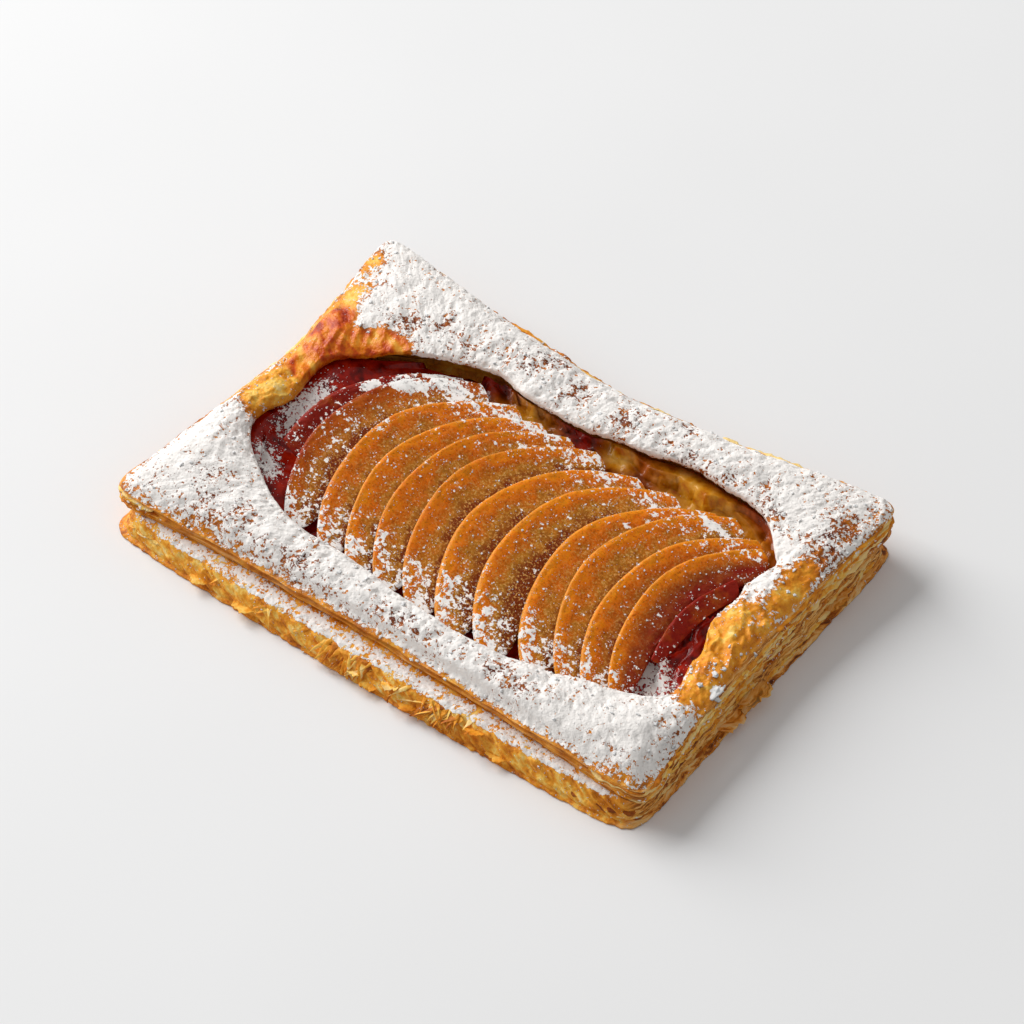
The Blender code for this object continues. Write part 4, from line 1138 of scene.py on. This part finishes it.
def shard_points(count, rng):
    """Pointed leaves hanging from the front ledge: rows run from root to tip, columns round the thin section."""
    torn = rng.integers(0, len(SHARDS_AT), count)
    centre, spread = (np.array(SHARDS_AT)[torn, k] for k in (0, 1))
    x = np.clip(centre + spread * rng.normal(0, 1, count), -68, 68)
    share = (0.61 + 0.28 * (x + 70) / 140)[:, None, None]
    down = np.linspace(0, 1, 14)[None, :, None]
    turn = np.linspace(0, 2 * math.pi, 10, endpoint=False)[None, None, :]
    wide = rng.uniform(0.7, 2.2, count)[:, None, None] * mm
    drop = rng.uniform(1.6, 4.8, count)[:, None, None] * mm
    skew = rng.normal(-1.6, 2.2, count)[:, None, None] * mm
    lift = rng.uniform(0.2, 1.7, count)[:, None, None] * mm
    root = rng.uniform(4.4, 5.7, count)[:, None, None] * mm
    x, y, ahead, out = edge_frame(share, BASE_SIDES)
    half = 0.5 * wide * (1 - down) * np.minimum(down / 0.08, 1) ** 0.5
    half = half * (1 + 0.22 * np.sin(9 * down + 900 * share))
    z = np.maximum(root - drop * down**1.15, 0.25 * mm)
    beside = skew * down + half * np.cos(turn)
    away = profile(z) + 0.30 * mm + lift * down - 0.6 * mm * (1 - down) ** 3
    away = away + 0.14 * mm * np.sin(turn) * (half > 0) + 0.25 * mm * np.cos(turn) * np.sin(40 * share)
    px, py = x + ahead[0] * beside + out[0] * away, y + ahead[1] * beside + out[1] * away
    return np.stack([px, py, z + 0 * px], -1)


def strip_points(count, sides, share, low, high, rng):
    """Leaf edges on a side: thin level strips that follow the sheet's edge, wander in height and have torn rims."""
    long = rng.uniform(9, 42, count)[:, None, None] * mm / PERIMETER
    step = np.linspace(0, 1, 44)[None, :, None]
    turn = np.linspace(0, 2 * math.pi, 8, endpoint=False)[None, None, :]
    at = share[:, None, None] + long * (step - 0.5)
    x, y, _, out = edge_frame(at, sides)
    number = np.arange(count)[:, None, None] * 7.7 * mm
    run = np.stack(np.broadcast_arrays(at * PERIMETER, number, 0 * at), -1)
    level = rng.uniform(0.02, 0.98, count)[:, None, None]
    z = low(x, y) + level * (high(x, y) - low(x, y)) + 0.9 * mm * bumps(run, 9 * mm, 5) + 0.3 * mm * bumps(run, 2.5 * mm, 6)
    ends = np.sqrt(np.clip(1 - np.abs(2 * step - 1) ** 6, 0, 1))
    rim = (0.40 * mm + 0.75 * mm * rough(run, 2.6 * mm, 3, 8)) * ends
    reach = rim + (0.5 + 0.5 * np.cos(turn)) * 1.3 * mm - 1.3 * mm
    thick = 0.15 * mm * np.sin(turn) * ends
    droop = 0.5 * (reach + 0.6 * mm) * rng.normal(-0.5, 0.5, count)[:, None, None]
    away = reach + (profile(z) if sides is BASE_SIDES else 0.25 * mm)
    pz = np.maximum(z + thick + droop, 0.1 * mm)
    return np.stack([x + out[0] * away, y + out[1] * away, pz], -1)


def lid_edge_height(x, y):
    return around(np.arctan2(y, x), EDGE_TOP)


leaf_draw = np.random.default_rng(31)
shards = joined_poled(
    "hanging_shards", shard_points(SHARDS, leaf_draw), baked_pastry, leaf_values(SHARDS, leaf_draw, (-0.6, 0.2), (0.05, 0.65))
)

LID_STRIPS = 190
BASE_STRIPS = 110
# The front runs from share 0.61 to 0.89 of the way round, and was cut clean
lid_share_at = (leaf_draw.uniform(-0.095, 0.60, LID_STRIPS)) % 1.0
lid_strips = strip_points(LID_STRIPS, LID_SIDES, lid_share_at, lambda x, y: 6.6 * mm, lid_edge_height, leaf_draw)
base_share_at = (leaf_draw.uniform(-0.095, 0.60, BASE_STRIPS)) % 1.0
base_strips = strip_points(
    BASE_STRIPS, BASE_SIDES, base_share_at, lambda x, y: 0.5 * mm, lambda x, y: 5.0 * mm, leaf_draw
)
strip_count = LID_STRIPS + BASE_STRIPS
strips = joined_poled(
    "leaf_edges", np.concatenate([lid_strips, base_strips]), baked_pastry,
    leaf_values(strip_count, leaf_draw, (-0.6, 0.3), (-0.15, 0.75)),
)
print("shards:", SHARDS, "strips:", strip_count)

# %% [markdown]
# Loose grains and crumbs of sugar lie on everything. To find where, rays drop from above at random places and
# each remembers what it hit. A place keeps its grain with a chance that follows the sugar field, and every
# grain is one small eight-sided solid, turned at random. All grains of a kind are one mesh.

# %% Grains of sugar
def icing_finish(name):
    """Icing sugar: fine matt powder, white with the faintest warmth, that lets light through a grain."""
    made, tree, shader = new_finish(
        name, Roughness=0.95, Specular_IOR_Level=0.2, Subsurface_Weight=0.7, Subsurface_Scale=0.5 * mm,
        Subsurface_Radius=(1.0, 1.0, 1.0),
    )
    place = add(tree, "ShaderNodeTexCoord").outputs["Object"]
    fine = add(tree, "ShaderNodeTexNoise", {"Vector": place, "Scale": per(0.8 * mm), "Detail": 2.0})
    shade = add(tree, "ShaderNodeValToRGB", {"Fac": fine.outputs["Fac"]}, stops=[(0.3, "#F6F2EE"), (0.7, "#FDFBF9")])
    normal = add(tree, "ShaderNodeNewGeometry").outputs["Normal"]
    tree.links.new(shade.outputs[0], shader.inputs["Base Color"])
    tree.links.new(powder_facing(tree, normal, 1.0), shader.inputs["Normal"])
    return made


icing_sugar = icing_finish("icing_sugar")


def drop_rays(count, low, high, rng):
    """Random places (x, y) between two corners, and what a ray from above meets: its point and piece name."""
    graph = bpy.context.evaluated_depsgraph_get()
    xy = rng.uniform(low, high, (count, 2))
    hits, names = [], []
    for x, y in xy - MIDDLE[:2]:
        found, point, _, _, piece, _ = bpy.context.scene.ray_cast(graph, Vector((x, y, 0.05)), Vector((0, 0, -1)))
        hits.append(point if found else (0, 0, -1))
        names.append(piece.name if found else "")
    return np.array(hits, float) + MIDDLE, np.array(names)


def octahedron():
    """Six points and eight faces."""
    points = np.array([(1, 0, 0), (-1, 0, 0), (0, 1, 0), (0, -1, 0), (0, 0, 1), (0, 0, -1)], float)
    faces = [(a, b, c) if (a < 1) ^ (b < 3) ^ (c < 5) else (a, c, b) for a in (0, 1) for b in (2, 3) for c in (4, 5)]
    return points, np.array(faces)


def random_turns(count, rng):
    """Random 3x3 rotations: each is the orthogonal factor of a random matrix."""
    turns, _ = np.linalg.qr(rng.normal(size=(count, 3, 3)))
    return turns * np.sign(np.linalg.det(turns))[:, None, None]


def grain_sizes(count, usual, most, rng):
    """Half-widths in metres: mostly near the usual one, with a few up to most, both given in mm."""
    return np.minimum(usual * np.exp(rng.normal(0, 0.45, count)), most) * mm


GRAIN_FLATNESS = 0.55  # grains settle on their flat sides


def scatter(name, places, sizes, rng):
    """One octahedral grain at each place, squashed and turned at random, all in one mesh."""
    points, faces = octahedron()
    stretch = sizes[:, None] * rng.uniform(0.6, 1.25, (len(places), 3))
    shapes = np.einsum("kij,knj->kni", random_turns(len(places), rng), points[None] * stretch[:, None, :])
    grains = shapes * (1, 1, GRAIN_FLATNESS) + places[:, None, :]
    grains[..., 2] = np.maximum(grains[..., 2], 0.02 * mm)
    shift = (np.arange(len(places)) * len(points))[:, None, None]
    piece = piece_from(name, grains.reshape(-1, 3), [(faces[None] + shift).reshape(-1, 3)], icing_sugar)
    piece.data.shade_flat()
    return piece


bpy.context.view_layer.update()
grain_draw = np.random.default_rng(23)

fan_hits, fan_names = drop_rays(32000, (-60 * mm, -38 * mm), (62 * mm, 31 * mm), grain_draw)
on_fan = np.char.startswith(fan_names, "glazed") | (fan_names == "fruit_compote")
fan_chance = 0.02 + 0.9 * fan_sugar(fan_hits[:, 0], fan_hits[:, 1]) ** 1.5
fan_chance = np.where(fan_names == "fruit_compote", 0.8 * field(fan_hits[:, 0], fan_hits[:, 1], COMPOTE_SUGAR), fan_chance)
fan_kept = fan_hits[on_fan & (grain_draw.random(len(fan_hits)) < fan_chance)]
fan_sizes = grain_sizes(len(fan_kept), 0.14, 0.36, grain_draw)
scatter("sugar_grains_on_apple", fan_kept, fan_sizes, grain_draw)

lid_hits, lid_names = drop_rays(30000, (-76 * mm, -56 * mm), (78 * mm, 52 * mm), grain_draw)
on_pastry = np.char.startswith(lid_names, "puff")
bare = np.maximum(0.85 * field(lid_hits[:, 0], lid_hits[:, 1], GOLD_SPOTS), field(lid_hits[:, 0], lid_hits[:, 1], SYRUP_SPOTS))
lid_chance = (1 - bare) * ease(rough(lid_hits, 2.5 * mm, 2, 7), -0.35, 0.3)
lid_kept = lid_hits[on_pastry & (grain_draw.random(len(lid_hits)) < lid_chance)]
lid_sizes = grain_sizes(len(lid_kept), 0.11, 0.42, grain_draw)
scatter("sugar_grains_on_pastry", lid_kept, lid_sizes, grain_draw)

# %% Lumps of sugar
# x, y and half-sizes in mm of the lumps on the right fold, where damp sugar clotted
LUMPS = [
    (69.0, -17.2, 1.3, 2.2, 0.8), (67.2, -15.2, 0.7, 0.6, 0.35), (70.2, -19.0, 0.8, 0.6, 0.4),
    (66.0, -19.2, 0.6, 0.5, 0.3), (67.8, -13.0, 0.5, 0.5, 0.3),
]


def lump_points(centres, halves, seed):
    """Small spheres squashed to their half-sizes, with noise a third of that deep over them."""
    polar = np.linspace(0, math.pi, 13)[None, :, None]
    turn = np.linspace(0, 2 * math.pi, 18, endpoint=False)[None, None, :]
    unit = np.stack([np.sin(polar) * np.cos(turn), np.sin(polar) * np.sin(turn), np.cos(polar) + 0 * turn], -1)
    far = 2.0 * mm * np.arange(len(centres))[:, None, None, None]
    swell = 1 + 0.9 * bumps(unit * 1.0 * mm + far, 0.7 * mm, seed) + 0.4 * bumps(unit * 1.0 * mm + far, 0.3 * mm, seed)
    return centres[:, None, None, :] + unit * halves[:, None, None, :] * swell[..., None]


lump_draw = np.random.default_rng(41)
clots = np.array(LUMPS) * mm
scattered, scattered_on = drop_rays(420, (-72 * mm, -50 * mm), (72 * mm, 48 * mm), lump_draw)
scattered = scattered[np.char.startswith(scattered_on, "puff_pastry_lid")]
scattered = scattered[lump_draw.random(len(scattered)) < 1 - field(scattered[:, 0], scattered[:, 1], SYRUP_SPOTS)]
graph = bpy.context.evaluated_depsgraph_get()
clot_z = [
    bpy.context.scene.ray_cast(graph, Vector((x, y, 0.05)), Vector((0, 0, -1)))[1].z
    for x, y in clots[:, :2] - MIDDLE[:2]
]
centres = np.concatenate([np.column_stack([clots[:, :2], clot_z]), scattered])
halves = np.concatenate([clots[:, 2:], lump_draw.uniform(0.22, 0.5, (len(scattered), 3)) * (1, 1, 0.7) * mm])
lumps = joined_poled("sugar_lumps", lump_points(centres, halves, 3), icing_sugar, {})
print("lumps of sugar:", len(centres))
print("grains on the apple:", len(fan_kept), "on the pastry:", len(lid_kept))

# %% [markdown]
# The tart lies on a plain white table in a bright room. One large soft light stands to the left and behind,
# so the shadow falls to the right, short and soft, and the white surroundings fill in the rest.

# %% Floor
def floor_finish(name):
    """White laminate: even, faintly warm, with a soft sheen."""
    made, tree, shader = new_finish(name, Roughness=0.55, Specular_IOR_Level=0.3)
    place = add(tree, "ShaderNodeTexCoord").outputs["Object"]
    cloud = add(tree, "ShaderNodeTexNoise", {"Vector": place, "Scale": per(120 * mm), "Detail": 2.0})
    shade = add(tree, "ShaderNodeValToRGB", {"Fac": cloud.outputs["Fac"]}, stops=[(0.3, "#EDEDED"), (0.7, "#F0F0F0")])
    tree.links.new(shade.outputs[0], shader.inputs["Base Color"])
    return made


FLOOR_HALF = 3.0
FLOOR_DROP = 0.05 * mm
corners = [(-1, -1), (1, -1), (1, 1), (-1, 1)]
floor_mesh = bpy.data.meshes.new("table_top")
floor_mesh.from_pydata([(FLOOR_HALF * x, FLOOR_HALF * y, -FLOOR_DROP) for x, y in corners], [], [(0, 1, 2, 3)])
floor_mesh.materials.append(floor_finish("white_laminate"))
table_top = bpy.data.objects.new("table_top", floor_mesh)
bpy.context.scene.collection.objects.link(table_top)

# %% Light
def soft_light(name, place, target, size, power, shade="#FFFFFF"):
    """A square area light at a place, aimed at a target."""
    lamp = bpy.data.lights.new(name, "AREA")
    lamp.shape = "SQUARE"
    lamp.size = size
    lamp.energy = power
    lamp.color = linear(shade)[:3]
    holder = bpy.data.objects.new(name, lamp)
    holder.location = place
    holder.rotation_euler = (Vector(target) - Vector(place)).to_track_quat("-Z", "Y").to_euler()
    bpy.context.scene.collection.objects.link(holder)
    return holder


soft_light("window_light", (-1.75, 0.12, 1.16), (0, 0, 0), 1.5, 53.5)
world = bpy.data.worlds.new("white_room")
world.use_nodes = True
world.node_tree.nodes["Background"].inputs["Color"].default_value = linear("#FFFFFF")
world.node_tree.nodes["Background"].inputs["Strength"].default_value = 0.38
bpy.context.scene.world = world
bpy.context.scene.view_settings.view_transform = "Standard"

# %% Camera
CAMERA_AT = Vector((276.55, -369.18, 549.07)) * mm
CAMERA_TARGET = Vector((2.104, 2.311, 10.0)) * mm
camera_data = bpy.data.cameras.new("camera")
camera_data.sensor_width = 36.0
camera_data.lens = 111.86
camera_data.clip_start, camera_data.clip_end = 0.01, 20.0
camera = bpy.data.objects.new("camera", camera_data)
camera.location = CAMERA_AT
camera.rotation_euler = (CAMERA_TARGET - CAMERA_AT).to_track_quat("-Z", "Y").to_euler()
bpy.context.scene.collection.objects.link(camera)
bpy.context.scene.camera = camera

# %% Last update of the scene
bpy.context.view_layer.update()
